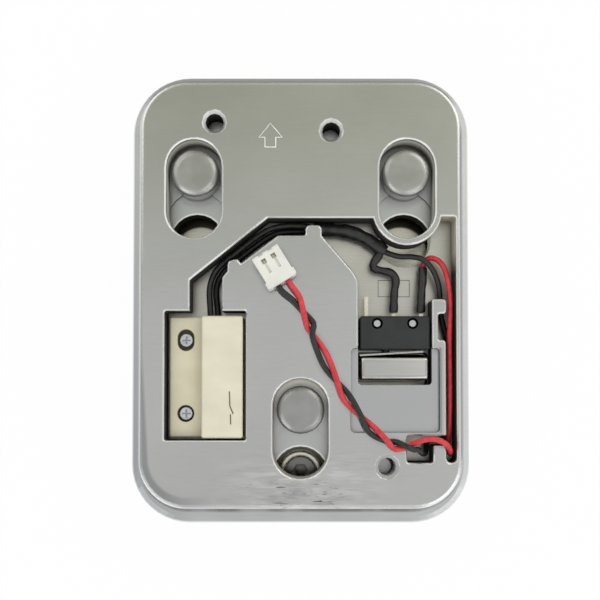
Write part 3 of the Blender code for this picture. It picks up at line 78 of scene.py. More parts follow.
class Look:
    """One procedural material, with short calls for the nodes that it is made of."""

    def __init__(self, name, roughness=0.5, metallic=0.0):
        self.material = bpy.data.materials.new(name)
        self.material.use_nodes = True
        self.tree = self.material.node_tree
        self.shader = self.tree.nodes["Principled BSDF"]
        self.shader.inputs["Roughness"].default_value = roughness
        self.shader.inputs["Metallic"].default_value = metallic
        self.coordinates = self.tree.nodes.new("ShaderNodeTexCoord")
        self.rounded = None

    def feed(self, socket, value):
        """Links a socket, or sets its value."""
        if isinstance(value, bpy.types.NodeSocket):
            self.tree.links.new(value, socket)
        else:
            socket.default_value = value

    def place(self, scale, turn=0.0):
        """Position on the object, scaled on each axis and turned about Z."""
        node = self.tree.nodes.new("ShaderNodeMapping")
        self.tree.links.new(self.coordinates.outputs["Object"], node.inputs["Vector"])
        node.inputs["Scale"].default_value = scale
        node.inputs["Rotation"].default_value = (0.0, 0.0, turn)
        return node.outputs["Vector"]

    def noise(self, scale, detail=2.0, turn=0.0):
        """Noise whose cells are sized by the scale on each axis."""
        node = self.tree.nodes.new("ShaderNodeTexNoise")
        self.tree.links.new(self.place(scale, turn), node.inputs["Vector"])
        node.inputs["Scale"].default_value = 1.0
        node.inputs["Detail"].default_value = detail
        return node.outputs["Fac"]

    def math(self, operation, first, second=0.0):
        """One sum."""
        node = self.tree.nodes.new("ShaderNodeMath")
        node.operation = operation
        self.feed(node.inputs[0], first)
        self.feed(node.inputs[1], second)
        return node.outputs["Value"]

    def times(self, first, *others):
        """Product of all the values."""
        for other in others:
            first = self.math("MULTIPLY", first, other)
        return first

    def least(self, first, *others):
        """Smallest of all the values."""
        for other in others:
            first = self.math("MINIMUM", first, other)
        return first

    def fit(self, value, low, high, to_low=0.0, to_high=1.0):
        """Maps a range of values to another, and holds it there."""
        node = self.tree.nodes.new("ShaderNodeMapRange")
        self.feed(node.inputs["Value"], value)
        node.inputs["From Min"].default_value = low
        node.inputs["From Max"].default_value = high
        node.inputs["To Min"].default_value = to_low
        node.inputs["To Max"].default_value = to_high
        return node.outputs["Result"]

    def mix(self, share, first, second):
        """Colour between two colours."""
        node = self.tree.nodes.new("ShaderNodeMix")
        node.data_type = "RGBA"
        self.feed(node.inputs["Factor"], share)
        self.feed(node.inputs[6], first)
        self.feed(node.inputs[7], second)
        return node.outputs[2]

    def axis(self, name):
        """One coordinate on the object, in metres."""
        node = self.tree.nodes.new("ShaderNodeSeparateXYZ")
        self.tree.links.new(self.coordinates.outputs["Object"], node.inputs["Vector"])
        return node.outputs[name]

    def ramp(self, name, low, high, to_low=0.0, to_high=1.0):
        """Maps a range of one coordinate to another range, and holds it there."""
        return self.fit(self.axis(name), low, high, to_low, to_high)

    def away(self, name, middle=0.0):
        """Distance from a plane across one axis, in metres."""
        return self.math("ABSOLUTE", self.math("SUBTRACT", self.axis(name), middle))

    def distance(self, x, y):
        """Distance from an upright line, in metres."""
        return self.length(self.math("SUBTRACT", self.axis("X"), x), self.math("SUBTRACT", self.axis("Y"), y))

    def upright(self):
        """How far a face is from upright: 1 on a level face, and 0 on a wall."""
        node = self.tree.nodes.new("ShaderNodeSeparateXYZ")
        self.tree.links.new(self.coordinates.outputs["Normal"], node.inputs["Vector"])
        return self.math("ABSOLUTE", node.outputs["Z"])

    def length(self, across, along):
        """Length of a step with two sides."""
        return self.math("SQRT", self.math("ADD", self.times(across, across), self.times(along, along)))

    def outline(self, low, high, radius):
        """Distance outside a rounded box, in metres, which is negative inside it."""
        sides = []
        for name, first, last in (("X", low.x, high.x), ("Y", low.y, high.y)):
            sides.append(self.math("SUBTRACT", self.away(name, (first + last) / 2), (last - first) / 2 - radius))
        corner = self.length(self.math("MAXIMUM", sides[0], 0.0), self.math("MAXIMUM", sides[1], 0.0))
        straight = self.math("MINIMUM", self.math("MAXIMUM", sides[0], sides[1]), 0.0)
        return self.math("SUBTRACT", self.math("ADD", corner, straight), radius)

    def slot(self, x, low, high):
        """Distance from an upright slot's middle line, in metres."""
        away = self.away("Y", (low + high) / 2)
        beyond = self.math("MAXIMUM", self.math("SUBTRACT", away, (high - low) / 2), 0.0)
        return self.length(self.math("SUBTRACT", self.axis("X"), x), beyond)

    def shade(self, distance):
        """How open a place is: 1 in the open, and less in a corner or a gap."""
        node = self.tree.nodes.new("ShaderNodeAmbientOcclusion")
        node.samples = 6
        node.inputs["Distance"].default_value = distance
        return node.outputs["AO"]

    def round_edges(self, radius):
        """Light rolls over sharp edges as if they were rounded."""
        node = self.tree.nodes.new("ShaderNodeBevel")
        node.samples = 4
        node.inputs["Radius"].default_value = radius
        self.rounded = node.outputs["Normal"]
        self.tree.links.new(self.rounded, self.shader.inputs["Normal"])

    def metal(self, value):
        """How metallic the face is."""
        self.feed(self.shader.inputs["Metallic"], value)

    def colour(self, value):
        """Colour of the face."""
        self.feed(self.shader.inputs["Base Color"], value)

    def roughness(self, value):
        """How rough the face is."""
        self.feed(self.shader.inputs["Roughness"], value)

    def bump(self, height, strength, depth):
        """Relief of that depth in metres."""
        node = self.tree.nodes.new("ShaderNodeBump")
        node.inputs["Strength"].default_value = strength
        node.inputs["Distance"].default_value = depth
        self.feed(node.inputs["Height"], height)
        if self.rounded:
            self.tree.links.new(self.rounded, node.inputs["Normal"])
        self.tree.links.new(node.outputs["Normal"], self.shader.inputs["Normal"])


FINE_RELIEF = 0.02 * MM
BACK_LOW, BACK_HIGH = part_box("back_plate")
BACK_R = 8.8 * MM
FLOOR_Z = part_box("base_plate")[1].z
RECESS_LOW = Vector((9.1, -25.5, 0.0)) * MM
RECESS_HIGH = Vector((24.8, -9.9, 0.0)) * MM
RECESS_R = 0.7 * MM
TAPPED_HOLES = ((-15.85 * MM, 31.65 * MM), (5.65 * MM, 30.05 * MM), (15.8 * MM, -31.65 * MM))
SHALLOW_HOLE = TAPPED_HOLES[2]

# Left, right and lower stud, and the middle line of the slot round each: x, and its ends in y
SLOT_BELOW = 7.4 * MM
SLOT_ABOVE = 0.7 * MM
STUDS = []
SLOTS = []
for name in ("left_stud", "right_stud", "lower_stud"):
    corner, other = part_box(name)
    middle = (corner + other) / 2
    STUDS.append((middle.x, middle.y))
    SLOTS.append((middle.x, middle.y - SLOT_BELOW, middle.y + SLOT_ABOVE))
ACCESS_R = 5.1 * MM
ACCESS_HOLES = [(x, low - 4.7 * MM) for x, low, _ in SLOTS]


def near_slots(look, reach):
    """1 in the three stud slots, and 0 elsewhere."""
    nearest = look.least(*[look.slot(*slot) for slot in SLOTS])
    return look.fit(nearest, reach, reach + 0.1 * MM, 1.0, 0.0)


def near_holes(look, reach):
    """1 at the three tapped holes, and 0 elsewhere."""
    nearest = look.least(*[look.distance(*hole) for hole in TAPPED_HOLES])
    return look.fit(nearest, reach + 0.1 * MM, reach)


def notch(look):
    """1 in the wire channel's upper right end, where light comes in, and 0 elsewhere."""
    return look.times(look.ramp("X", 23.5 * MM, 25 * MM), look.ramp("Y", 4 * MM, 8 * MM))


def crevice_shade(look, colour, distance, most, shade_colour):
    """Painted shade: darkens a colour where faces close in, in corners and gaps."""
    return look.mix(look.fit(look.shade(distance), 0.25, 0.85, most, 0.0), colour, shade_colour)


def left_edge_shade(look, face, edge):
    """Painted shade in a band along the back face's left edge, which widens downwards."""
    width = look.ramp("Y", -10 * MM, -36 * MM, 0.9 * MM, 2.4 * MM)
    band = look.times(look.fit(look.math("ADD", edge, width), 0.0, 0.6 * MM), look.fit(edge, -0.3 * MM, -0.5 * MM))
    band = look.times(band, look.ramp("X", -16 * MM, -25 * MM), look.ramp("Y", 30 * MM, 5 * MM), 0.8)
    return look.mix(band, face, srgb(158, 159, 160))


def rim_light_and_shade(look, face, edge):
    """Painted light and shade on the back face's edge: darker on the right and at the top, and painted glints at
    the lower corners.
    """
    right = look.times(look.ramp("X", 20 * MM, 28 * MM), look.fit(look.away("Y"), 33 * MM, 29 * MM))
    rim = look.mix(right, srgb(208, 209, 210), srgb(152, 153, 154))
    rim = look.mix(look.ramp("Y", 34 * MM, 36.5 * MM), rim, srgb(122, 124, 120))
    # Painted glints at the lower corners
    corners = look.times(look.fit(look.away("X"), 21 * MM, 23 * MM), look.ramp("Y", -32 * MM, -34 * MM))
    rim = look.mix(corners, rim, srgb(238, 239, 240))
    return look.mix(look.fit(edge, -0.5 * MM, -0.3 * MM), face, rim)


def recess_shade(look, face):
    """Painted shade in the recess round the actuator block, and a painted shadow line beside its right edge."""
    sunk_shade = look.fit(look.outline(RECESS_LOW, RECESS_HIGH, RECESS_R), 0.1 * MM, -0.1 * MM, 0.0, 0.8)
    face = look.mix(sunk_shade, face, srgb(196, 197, 197))
    edge_shadow_line = look.fit(look.away("X", RECESS_HIGH.x + 0.7 * MM), 0.5 * MM, 0.1 * MM)
    edge_shadow_line = look.times(edge_shadow_line, look.fit(look.away("Y", -17.7 * MM), 8.0 * MM, 7.6 * MM), 0.8)
    return look.mix(edge_shadow_line, face, srgb(150, 151, 153))


def scuffed(look, face):
    """Scuffs, dents and dark nicks low on the back face, then the patch that holds them and the scuffs alone."""
    patch = look.fit(look.distance(0.0, -34 * MM), 4 * MM, 17 * MM, 1.0, 0.0)
    patch = look.times(patch, look.ramp("Y", -28 * MM, -32.5 * MM))
    streaks = look.math("ADD", look.noise((300, 2600, 2600), 3.0), look.noise((220, 700, 220), 1.0))
    scuff = look.times(patch, look.fit(streaks, 1.02, 1.22))
    face = look.mix(look.times(scuff, 0.8), face, srgb(228, 229, 228))
    dents = look.times(patch, look.fit(streaks, 0.92, 0.76), 0.7)
    face = look.mix(dents, face, srgb(176, 177, 177))
    nicks = look.fit(look.noise((420, 2600, 2600), 2.0), 0.63, 0.70)
    nicks = look.times(nicks, look.ramp("Y", -34 * MM, -35.5 * MM),
                       look.fit(look.distance(-1 * MM, -36 * MM), 5 * MM, 11 * MM, 1.0, 0.0))
    return look.mix(nicks, face, srgb(96, 96, 92)), patch, scuff


def broken_edges(look, level, inner):
    """1 on the broken edges inside the rim, where a highlight is painted, and less round the recess and the
    sensor's pocket.
    """
    recess = look.fit(look.outline(RECESS_LOW, RECESS_HIGH, RECESS_R), 0.3 * MM, 0.4 * MM, 0.3, 1.0)
    pocket = look.fit(look.outline(*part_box("reed_sensor_housing"), 0.2 * MM), 1.6 * MM, 1.8 * MM, 0.4, 1.0)
    return look.times(look.fit(level, 0.88, 0.80), inner, recess, pocket)


def wall_light_and_shade(look, slots):
    """Painted light and shade on the cut walls: tones by depth in the slots with a painted light band, light in
    the notch, where light comes in, and in the shallow hole, and dark elsewhere.
    """
    depth = look.math("SUBTRACT", TOP_Z, look.axis("Z"))
    wall = look.mix(look.fit(depth, 0.5 * MM, 1.4 * MM), srgb(64, 63, 56), srgb(196, 195, 184))
    wall = look.mix(look.fit(depth, 3.6 * MM, 4.6 * MM), wall, srgb(150, 148, 136))
    wall = look.mix(slots, look.mix(notch(look), srgb(46, 45, 38), srgb(196, 192, 174)), wall)
    lit_bore = look.fit(look.distance(*SHALLOW_HOLE), 2.3 * MM, 2.2 * MM)
    return look.mix(lit_bore, wall, srgb(232, 233, 234))


def back_metal(name):
    """Satin machined metal: painted highlights on the broken edges, painted light and shade on the cut walls and
    along the edges, soft stains, and a scuffed patch low down.
    """
    look = Look(name, 0.14, 1.0)
    look.round_edges(0.3 * MM)
    level = look.upright()
    edge = look.outline(BACK_LOW, BACK_HIGH, BACK_R)
    stains = look.noise((60, 80, 60), 3.0)
    grain = look.noise((500, 5000, 5000), 2.0)
    tone = look.math("ADD", look.times(stains, 0.7), look.times(grain, 0.3))
    face = look.mix(look.fit(tone, 0.36, 0.64), srgb(202, 203, 201), srgb(208, 209, 207))
    face = left_edge_shade(look, face, edge)
    face = rim_light_and_shade(look, face, edge)
    face = recess_shade(look, face)
    face, patch, scuff = scuffed(look, face)
    inner = look.fit(edge, -1.0 * MM, -0.9 * MM, 1.0, 0.0)
    broken = broken_edges(look, level, inner)
    # Painted highlight on the broken edges, fainter round the tapped holes
    fainter = look.fit(near_holes(look, 3.0 * MM), 0.0, 1.0, 1.0, 0.4)
    face = look.mix(look.times(broken, fainter), face, srgb(246, 246, 244))
    slots = near_slots(look, 5.4 * MM)
    cut = look.times(look.fit(level, 0.30, 0.15), inner)
    # Painted light and shade on the cut walls
    face = look.mix(cut, face, wall_light_and_shade(look, slots))
    # Painted shade in corners and gaps, weaker in the slots
    face = look.mix(look.times(slots, 0.7), crevice_shade(look, face, 1.5 * MM, 0.6, srgb(58, 56, 50)), face)
    shallow = look.fit(look.distance(*SHALLOW_HOLE), 3.0 * MM, 2.9 * MM)
    shallow = look.times(look.fit(level, 0.88, 0.80), shallow)
    look.colour(look.mix(shallow, face, srgb(178, 179, 180)))
    dull = look.math("MAXIMUM", cut, shallow)
    look.metal(look.math("SUBTRACT", 1.0, dull))
    shine = look.math("ADD", look.fit(stains, 0.3, 0.7, 0.09, 0.15), look.times(dull, 0.6))
    shine = look.math("ADD", shine, look.times(broken, 0.25))
    shine = look.math("ADD", shine, look.fit(edge, -1.0 * MM, -0.7 * MM, 0.0, 0.15))
    look.roughness(look.math("ADD", shine, look.times(patch, 0.06)))
    look.bump(look.math("ADD", look.times(grain, 0.25), scuff), 0.2, FINE_RELIEF)
    return look.material


def shelf_light(look, slots):
    """1 on the crescent of the shelf above the lower stud, where light is painted."""
    high = SLOTS[2][2]
    away = look.distance(*STUDS[2])
    lit = look.times(look.fit(away, 4.7 * MM, 5.3 * MM), look.fit(away, 7.5 * MM, 7.0 * MM))
    return look.times(lit, look.ramp("Y", high, high + 2 * MM), slots)


def deep_wall_shade(look, level, inside, slots):
    """1 on the walls in the slots and below the channel floor, which are painted dark as shade, apart from the
    right access hole's.
    """
    side_light = look.fit(look.distance(*ACCESS_HOLES[1]), ACCESS_R + 0.4 * MM, ACCESS_R + 0.3 * MM)
    deep = look.ramp("Z", FLOOR_Z - 0.5 * MM, FLOOR_Z - 0.6 * MM)
    deep = look.math("MAXIMUM", slots, look.times(deep, look.math("SUBTRACT", 1.0, side_light)))
    return look.times(look.fit(level, 0.30, 0.15), inside, deep)


def painted_hole_light(look, level, slots):
    """1 where light is painted: on the floor under the tapped holes, and as highlights on the rims of the access
    holes in the slots.
    """
    bright = near_holes(look, 2.1 * MM)
    edges = look.times(look.fit(level, 0.6, 0.9), slots)
    for hole in ACCESS_HOLES:
        away = look.math("ABSOLUTE", look.math("SUBTRACT", look.distance(*hole), ACCESS_R + 0.1 * MM))
        bright = look.math("MAXIMUM", bright, look.times(look.fit(away, 0.25 * MM, 0.12 * MM), edges))
    return bright


def base_metal(name):
    """Satin metal of the rim and the slots' shelves, and the duller, warmer floor of the wire channels."""
    look = Look(name, 0.2, 1.0)
    level = look.upright()
    edge = look.outline(BACK_LOW, BACK_HIGH, BACK_R)
    inside = look.fit(edge, -0.6 * MM, -0.4 * MM, 1.0, 0.0)
    slots = near_slots(look, 5.6 * MM)
    channel = look.times(inside, look.math("SUBTRACT", 1.0, slots))
    stains = look.noise((120, 150, 120), 4.0)
    lines = look.noise((200, 4000, 4000), 2.0)
    tone = look.math("ADD", look.times(stains, 0.6), look.times(lines, 0.4))
    tone = look.fit(tone, 0.36, 0.64)
    face = look.mix(tone, srgb(202, 203, 203), srgb(210, 211, 211))
    # Painted light and shade on the rim: lighter up the left side, and darker along the top
    left = look.mix(look.ramp("Y", -30 * MM, 25 * MM), srgb(194, 195, 197), srgb(222, 223, 225))
    face = look.mix(look.ramp("X", -20 * MM, -28 * MM), face, left)
    face = look.mix(look.ramp("Y", 36 * MM, 40 * MM), face, srgb(186, 187, 184))
    face = look.mix(look.times(slots, 0.7), face, srgb(196, 198, 197))
    face = look.mix(channel, face, look.mix(tone, srgb(203, 201, 192), srgb(214, 213, 206)))
    # Painted light on the shelf above the lower stud
    face = look.mix(shelf_light(look, slots), face, srgb(250, 247, 232))
    # Painted shade on the deep walls
    cut = deep_wall_shade(look, level, inside, slots)
    face = look.mix(cut, face, srgb(46, 44, 36))
    # Painted shadow in the joint between the back plate and the rim, along the bottom
    joint_shadow = look.times(look.fit(edge, 1.4 * MM, 1.0 * MM), look.ramp("Y", -34 * MM, -37 * MM),
                      look.fit(look.noise((150, 20, 20), 3.0), 0.40, 0.60, 0.35, 0.8))
    face = look.mix(joint_shadow, face, srgb(120, 121, 118))
    # Painted shade in corners and gaps, weaker in the slots and in the notch where light comes in
    less_shade = look.times(look.math("MAXIMUM", slots, notch(look)), 0.75)
    face = look.mix(less_shade, crevice_shade(look, face, 1.2 * MM, 0.45, srgb(60, 58, 50)), face)
    # Painted light under the tapped holes and on the access holes' rims
    face = look.mix(painted_hole_light(look, level, slots), face, srgb(246, 247, 245))
    # Painted light on the shallow hole's floor, with a painted shadow crescent at its upper right
    x, y = SHALLOW_HOLE
    shallow = look.fit(look.distance(x, y), 2.2 * MM, 2.1 * MM)
    shadow = look.fit(look.distance(x - 0.4 * MM, y - 0.3 * MM), 1.5 * MM, 1.65 * MM)
    look.colour(look.mix(shallow, face, look.mix(shadow, srgb(250, 251, 252), srgb(70, 68, 60))))
    shelves = look.least(*[look.distance(*stud) for stud in STUDS[:2]])
    dull = look.times(look.fit(shelves, 5.9 * MM, 5.4 * MM), look.fit(level, 0.6, 0.9))
    dull = look.times(look.math("MAXIMUM", dull, shallow), 0.6)
    look.metal(look.math("SUBTRACT", 1.0, look.math("MAXIMUM", cut, dull)))
    shine = look.math("ADD", look.fit(stains, 0.3, 0.7, 0.15, 0.22), look.times(inside, 0.12))
    look.roughness(look.math("ADD", shine, look.times(cut, 0.4)))
    look.bump(lines, 0.1, FINE_RELIEF)
    return look.material


def brushed_metal(name, dark, light, roughness, edge):
    """Flat-ground metal with fine lines along X, soft stains and stray scratches, and its look to finish."""
    look = Look(name, roughness, 1.0)
    look.round_edges(edge)
    lines = look.noise((60, 7000, 7000), 3.0)
    stains = look.noise((70, 90, 70), 3.0)
    scratch = look.fit(look.noise((90, 2600, 90), 1.0, math.radians(38)), 0.70, 0.74)
    share = look.math("ADD", look.times(stains, 0.65), look.times(lines, 0.35))
    look.roughness(look.math("ADD", look.fit(stains, 0.3, 0.7, roughness - 0.04, roughness + 0.06),
                             look.fit(lines, 0.3, 0.7, -0.03, 0.03)))
    look.bump(look.math("SUBTRACT", lines, scratch), 0.12, FINE_RELIEF)
    return look, look.mix(look.fit(share, 0.35, 0.62), dark, light)


def block_metal(name):
    """Bright ground block, with painted highlights on its edges, a painted shade line just inside them, and
    painted shade towards its left side and in its corners.
    """
    look, face = brushed_metal(name, srgb(206, 206, 203), srgb(216, 216, 213), 0.2, 0.5 * MM)
    level = look.upright()
    broken = look.times(look.fit(level, 0.97, 0.92), look.fit(level, 0.2, 0.3))
    low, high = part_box("actuator_block")
    # Painted shade line just inside the block's edges
    bevel_shade_line = look.math("ABSOLUTE", look.math("ADD", look.outline(low, high, 0.2 * MM), 0.55 * MM))
    face = look.mix(look.fit(bevel_shade_line, 0.22 * MM, 0.1 * MM, 0.0, 0.7), face, srgb(172, 172, 168))
    # Painted shade towards the left side
    face = look.mix(look.ramp("X", high.x, low.x, 0.0, 0.5), face, srgb(184, 184, 178))
    # Painted highlights on the edges, and painted shade in corners and gaps
    look.colour(crevice_shade(look, look.mix(broken, face, srgb(244, 244, 240)), 2.0 * MM, 0.6, srgb(60, 58, 50)))
    return look.material


def push_metal(name):
    """Push plate's metal: warm inside, with painted light under the upper access holes edged by painted shade,
    painted shade in corners, and darker in the lock screw's well.
    """
    look, face = brushed_metal(name, srgb(184, 185, 184), srgb(196, 197, 196), 0.26, 0.3 * MM)
    inner = look.ramp("Z", 6 * MM, 7 * MM)
    warm = look.mix(look.noise((90, 110, 90), 3.0), srgb(214, 212, 198), srgb(228, 226, 214))
    # Painted shade in corners and gaps
    warm = crevice_shade(look, warm, 2.0 * MM, 0.25, srgb(60, 58, 50))
    # Painted light under the upper access holes, edged by painted shade
    lit = look.least(*[look.distance(x, low - 6.2 * MM) for x, low, _ in SLOTS[:2]])
    dim = look.times(look.fit(lit, ACCESS_R - 0.1 * MM, ACCESS_R + 0.25 * MM),
                     look.fit(lit, ACCESS_R + 3.2 * MM, ACCESS_R + 3.0 * MM))
    warm = look.mix(dim, warm, srgb(62, 60, 50))
    well = look.fit(look.distance(*ACCESS_HOLES[2]), 5.8 * MM, 5.6 * MM)
    warm = look.mix(well, warm, srgb(112, 109, 96))
    facing = look.times(inner, look.fit(look.upright(), 0.9, 0.95))
    look.colour(look.mix(facing, face, warm))
    return look.material


def turned_metal(name, x, y, dark, light, roughness, edge):
    """Lathe-turned metal: fine rings about an upright axis, a rounded look at its edge, and painted shade where
    other faces close round it.
    """
    look = Look(name, roughness, 1.0)
    look.round_edges(edge)
    away = look.distance(x, y)
    rings = look.math("SINE", look.times(away, math.tau / (0.28 * MM)))
    stains = look.noise((300, 300, 300), 2.0)
    share = look.math("ADD", look.times(rings, 0.06), stains)
    face = look.mix(look.fit(share, 0.30, 0.70), dark, light)
    # Painted shade in corners and gaps
    look.colour(crevice_shade(look, face, 1.5 * MM, 0.4, srgb(60, 59, 54)))
    look.roughness(look.fit(stains, 0.3, 0.7, roughness - 0.04, roughness + 0.05))
    look.bump(rings, 0.08, FINE_RELIEF)
    return look.material


def screw_metal(name, reach):
    """Plated screw with a cross recess in its head, painted darker as the recess's shade and given a bump."""
    low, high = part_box(name)
    look = Look(name + "_metal", 0.26, 1.0)
    look.round_edges(0.25 * MM)
    grain = look.noise((1500, 1500, 1500), 2.0)
    face = look.mix(look.fit(grain, 0.35, 0.65), srgb(200, 202, 206), srgb(220, 222, 225))
    across = look.away("X", (low.x + high.x) / 2)
    along = look.away("Y", (low.y + high.y) / 2)
    # Cross recess painted darker as its shade
    thin = look.fit(look.least(across, along), reach * 0.28, reach * 0.18)
    cross = look.times(thin, look.fit(look.math("MAXIMUM", across, along), reach, reach * 0.9))
    # Painted shade in corners and gaps
    look.colour(crevice_shade(look, look.mix(cross, face, srgb(160, 162, 166)), 0.8 * MM, 0.4, srgb(60, 59, 54)))
    look.roughness(look.fit(grain, 0.3, 0.7, 0.22, 0.32))
    look.bump(look.math("SUBTRACT", 1.0, cross), 0.4, 0.0001)
    return look.material


def pin_metal(name):
    """Bright pin end, its outer ring painted dark as the shade of the hole round it."""
    low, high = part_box(name)
    look = Look(name + "_metal", 0.3, 1.0)
    grain = look.noise((2500, 2500, 2500), 3.0)
    reach = (high.x - low.x) / 2
    # Outer ring painted dark as the shade of the hole round the pin
    hole = look.fit(look.distance((low.x + high.x) / 2, (low.y + high.y) / 2), reach * 0.74, reach * 0.86)
    face = look.mix(look.fit(grain, 0.35, 0.65), srgb(196, 197, 197), srgb(214, 215, 215))
    look.colour(look.mix(hole, face, srgb(24, 24, 26)))
    look.roughness(look.fit(grain, 0.3, 0.7, 0.25, 0.36))
    return look.material


def bright_metal(name, dark, light, roughness):
    """Drawn or stamped metal with a fine uneven tone."""
    look = Look(name, roughness, 1.0)
    grain = look.noise((2500, 2500, 2500), 3.0)
    look.colour(look.mix(look.fit(grain, 0.35, 0.65), dark, light))
    look.roughness(look.fit(grain, 0.3, 0.7, roughness - 0.05, roughness + 0.08))
    look.bump(grain, 0.1, FINE_RELIEF)
    return look.material


def moulded(name, dark, light, roughness, grain_size=4000, depth=FINE_RELIEF):
    """Moulded plastic with a fine grain and faint smudges."""
    look = Look(name, roughness)
    grain = look.noise((grain_size, grain_size, grain_size), 2.0)
    smudges = look.noise((220, 220, 220), 3.0)
    share = look.math("ADD", look.times(smudges, 0.7), look.times(grain, 0.3))
    look.colour(look.mix(look.fit(share, 0.35, 0.65), dark, light))
    look.roughness(look.fit(smudges, 0.3, 0.7, roughness - 0.06, roughness + 0.08))
    look.bump(grain, 0.2, depth)
    return look.material


def sensor_plastic(name, edge, holes):
    """Sensor's plastic: beige on the flange, paler on the raised body, and painted shade down in the screw holes
    and in corners.
    """
    look = Look(name, 0.45)
    look.round_edges(0.3 * MM)
    grain = look.noise((3000, 3000, 3000), 2.0)
    smudges = look.noise((180, 260, 180), 4.0)
    flange = look.mix(look.fit(smudges, 0.35, 0.65), srgb(214, 207, 182), srgb(222, 216, 192))
    body = look.mix(look.fit(smudges, 0.35, 0.65), srgb(216, 210, 188), srgb(225, 220, 199))
    face = look.mix(look.math("GREATER_THAN", look.axis("X"), edge), flange, body)
    # Painted shade down in the screw holes
    nearest = look.least(*[look.slot(*hole) for hole in holes])
    face = look.mix(look.fit(nearest, 1.65 * MM, 1.5 * MM), face, srgb(124, 119, 102))
    # Painted shade in corners and gaps
    look.colour(crevice_shade(look, face, 1.0 * MM, 0.35, srgb(120, 112, 88)))
    look.roughness(look.fit(smudges, 0.3, 0.7, 0.40, 0.55))
    look.bump(grain, 0.15, FINE_RELIEF)
    return look.material


def insulation(name, dark, light, roughness, waves=300, depth=0.0001):
    """Soft wire insulation, slightly uneven and dusty."""
    look = Look(name, roughness)
    dust = look.noise((900, 900, 900), 4.0)
    look.colour(look.mix(look.fit(dust, 0.40, 0.72), dark, light))
    look.roughness(look.fit(dust, 0.3, 0.7, roughness - 0.08, roughness + 0.10))
    look.bump(look.noise((waves, waves, waves), 1.0), 0.4, depth)
    return look.material


def reed_glass(name):
    """Greenish glass of the reed capsule."""
    look = Look(name, 0.06)
    tint = look.noise((800, 800, 800), 1.0)
    look.colour(look.mix(tint, srgb(190, 214, 200), srgb(214, 230, 220)))
    look.shader.inputs["Transmission Weight"].default_value = 0.6
    return look.material


PLATE = back_metal("back_plate_metal")
FLOOR_METAL = base_metal("base_plate_metal")
FRONT_METAL = push_metal("push_plate_metal")
BLOCK_METAL = block_metal("block_metal")
STEEL = bright_metal("stamped_steel", srgb(180, 180, 176), srgb(206, 206, 203), 0.30)
SPRING = bright_metal("spring_wire", srgb(170, 170, 170), srgb(200, 200, 200), 0.28)
MAGNET = bright_metal("nickel_plate", srgb(190, 190, 188), srgb(210, 210, 206), 0.22)
CONTACT = bright_metal("contact_metal", srgb(232, 226, 204), srgb(244, 240, 224), 0.34)
SENSOR_HOLES = []
for name, extra in (("upper_sensor_screw", 0.45 * MM), ("lower_sensor_screw", 0.0)):
    corner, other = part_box(name)
    middle = (corner + other) / 2
    SENSOR_HOLES.append((middle.x, middle.y - extra, middle.y + extra))
SENSOR = sensor_plastic("sensor_plastic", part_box("reed_sensor_housing")[0].x + 6.2 * MM, SENSOR_HOLES)
BLACK = moulded("black_moulding", srgb(28, 29, 31), srgb(38, 39, 42), 0.42)
WHITE = moulded("white_nylon", srgb(220, 220, 213), srgb(232, 232, 226), 0.42, 2500)
BLACK_WIRE = insulation("black_insulation", srgb(18, 19, 19), srgb(36, 37, 36), 0.40)
RED_WIRE = insulation("red_insulation", srgb(196, 44, 54), srgb(222, 66, 74), 0.40)
GLASS = reed_glass("capsule_glass")


def round_metal(name, dark, light, edge):
    """Turned look about a round node's own axis."""
    low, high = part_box(name)
    middle = (low + high) / 2
    return turned_metal(name + "_metal", middle.x, middle.y, dark, light, 0.16, edge)


LOOKS = {
    "back_plate": PLATE,
    "base_plate": FLOOR_METAL,
    "push_plate": FRONT_METAL,
    "actuator_block": BLOCK_METAL,
    "sensor_magnet": MAGNET,
    "reed_sensor_housing": SENSOR,
    "reed_capsule": GLASS,
    "switch_case": BLACK,
    "switch_cover": BLACK,
    "switch_plunger": BLACK,
    "switch_lever": STEEL,
    "connector_housing": WHITE,
    "red_channel_wire": RED_WIRE,
    "red_free_wire": RED_WIRE,
}
# The lower stud is given a darker tone as painted shade
for name, tone in (("left_stud", 185), ("right_stud", 184), ("lower_stud", 168)):
    darker, lighter = srgb(tone, tone, tone - 2), srgb(tone + 10, tone + 10, tone + 8)
    LOOKS[name] = round_metal(name, darker, lighter, 1.3 * MM)
LOOKS["lock_bush"] = round_metal("lock_bush", srgb(226, 221, 202), srgb(240, 236, 220), 0.4 * MM)
LOOKS["lock_screw"] = round_metal("lock_screw", srgb(124, 124, 120), srgb(134, 134, 130), 0.3 * MM)
for name in NODES:
    if name.endswith("sensor_screw"):
        LOOKS[name] = screw_metal(name, 0.85 * MM)
    elif name.endswith("plate_screw"):
        LOOKS[name] = screw_metal(name, 1.5 * MM)
    elif name.endswith("switch_pin"):
        LOOKS[name] = pin_metal(name)
for name, node in NODES.items():
    if name in LOOKS:
        look = LOOKS[name]
    elif "spring" in name:
        look = SPRING
    elif "contact" in name or name.endswith("terminal"):
        look = CONTACT
    else:
        look = BLACK_WIRE
    node.data.materials.clear()
    node.data.materials.append(look)

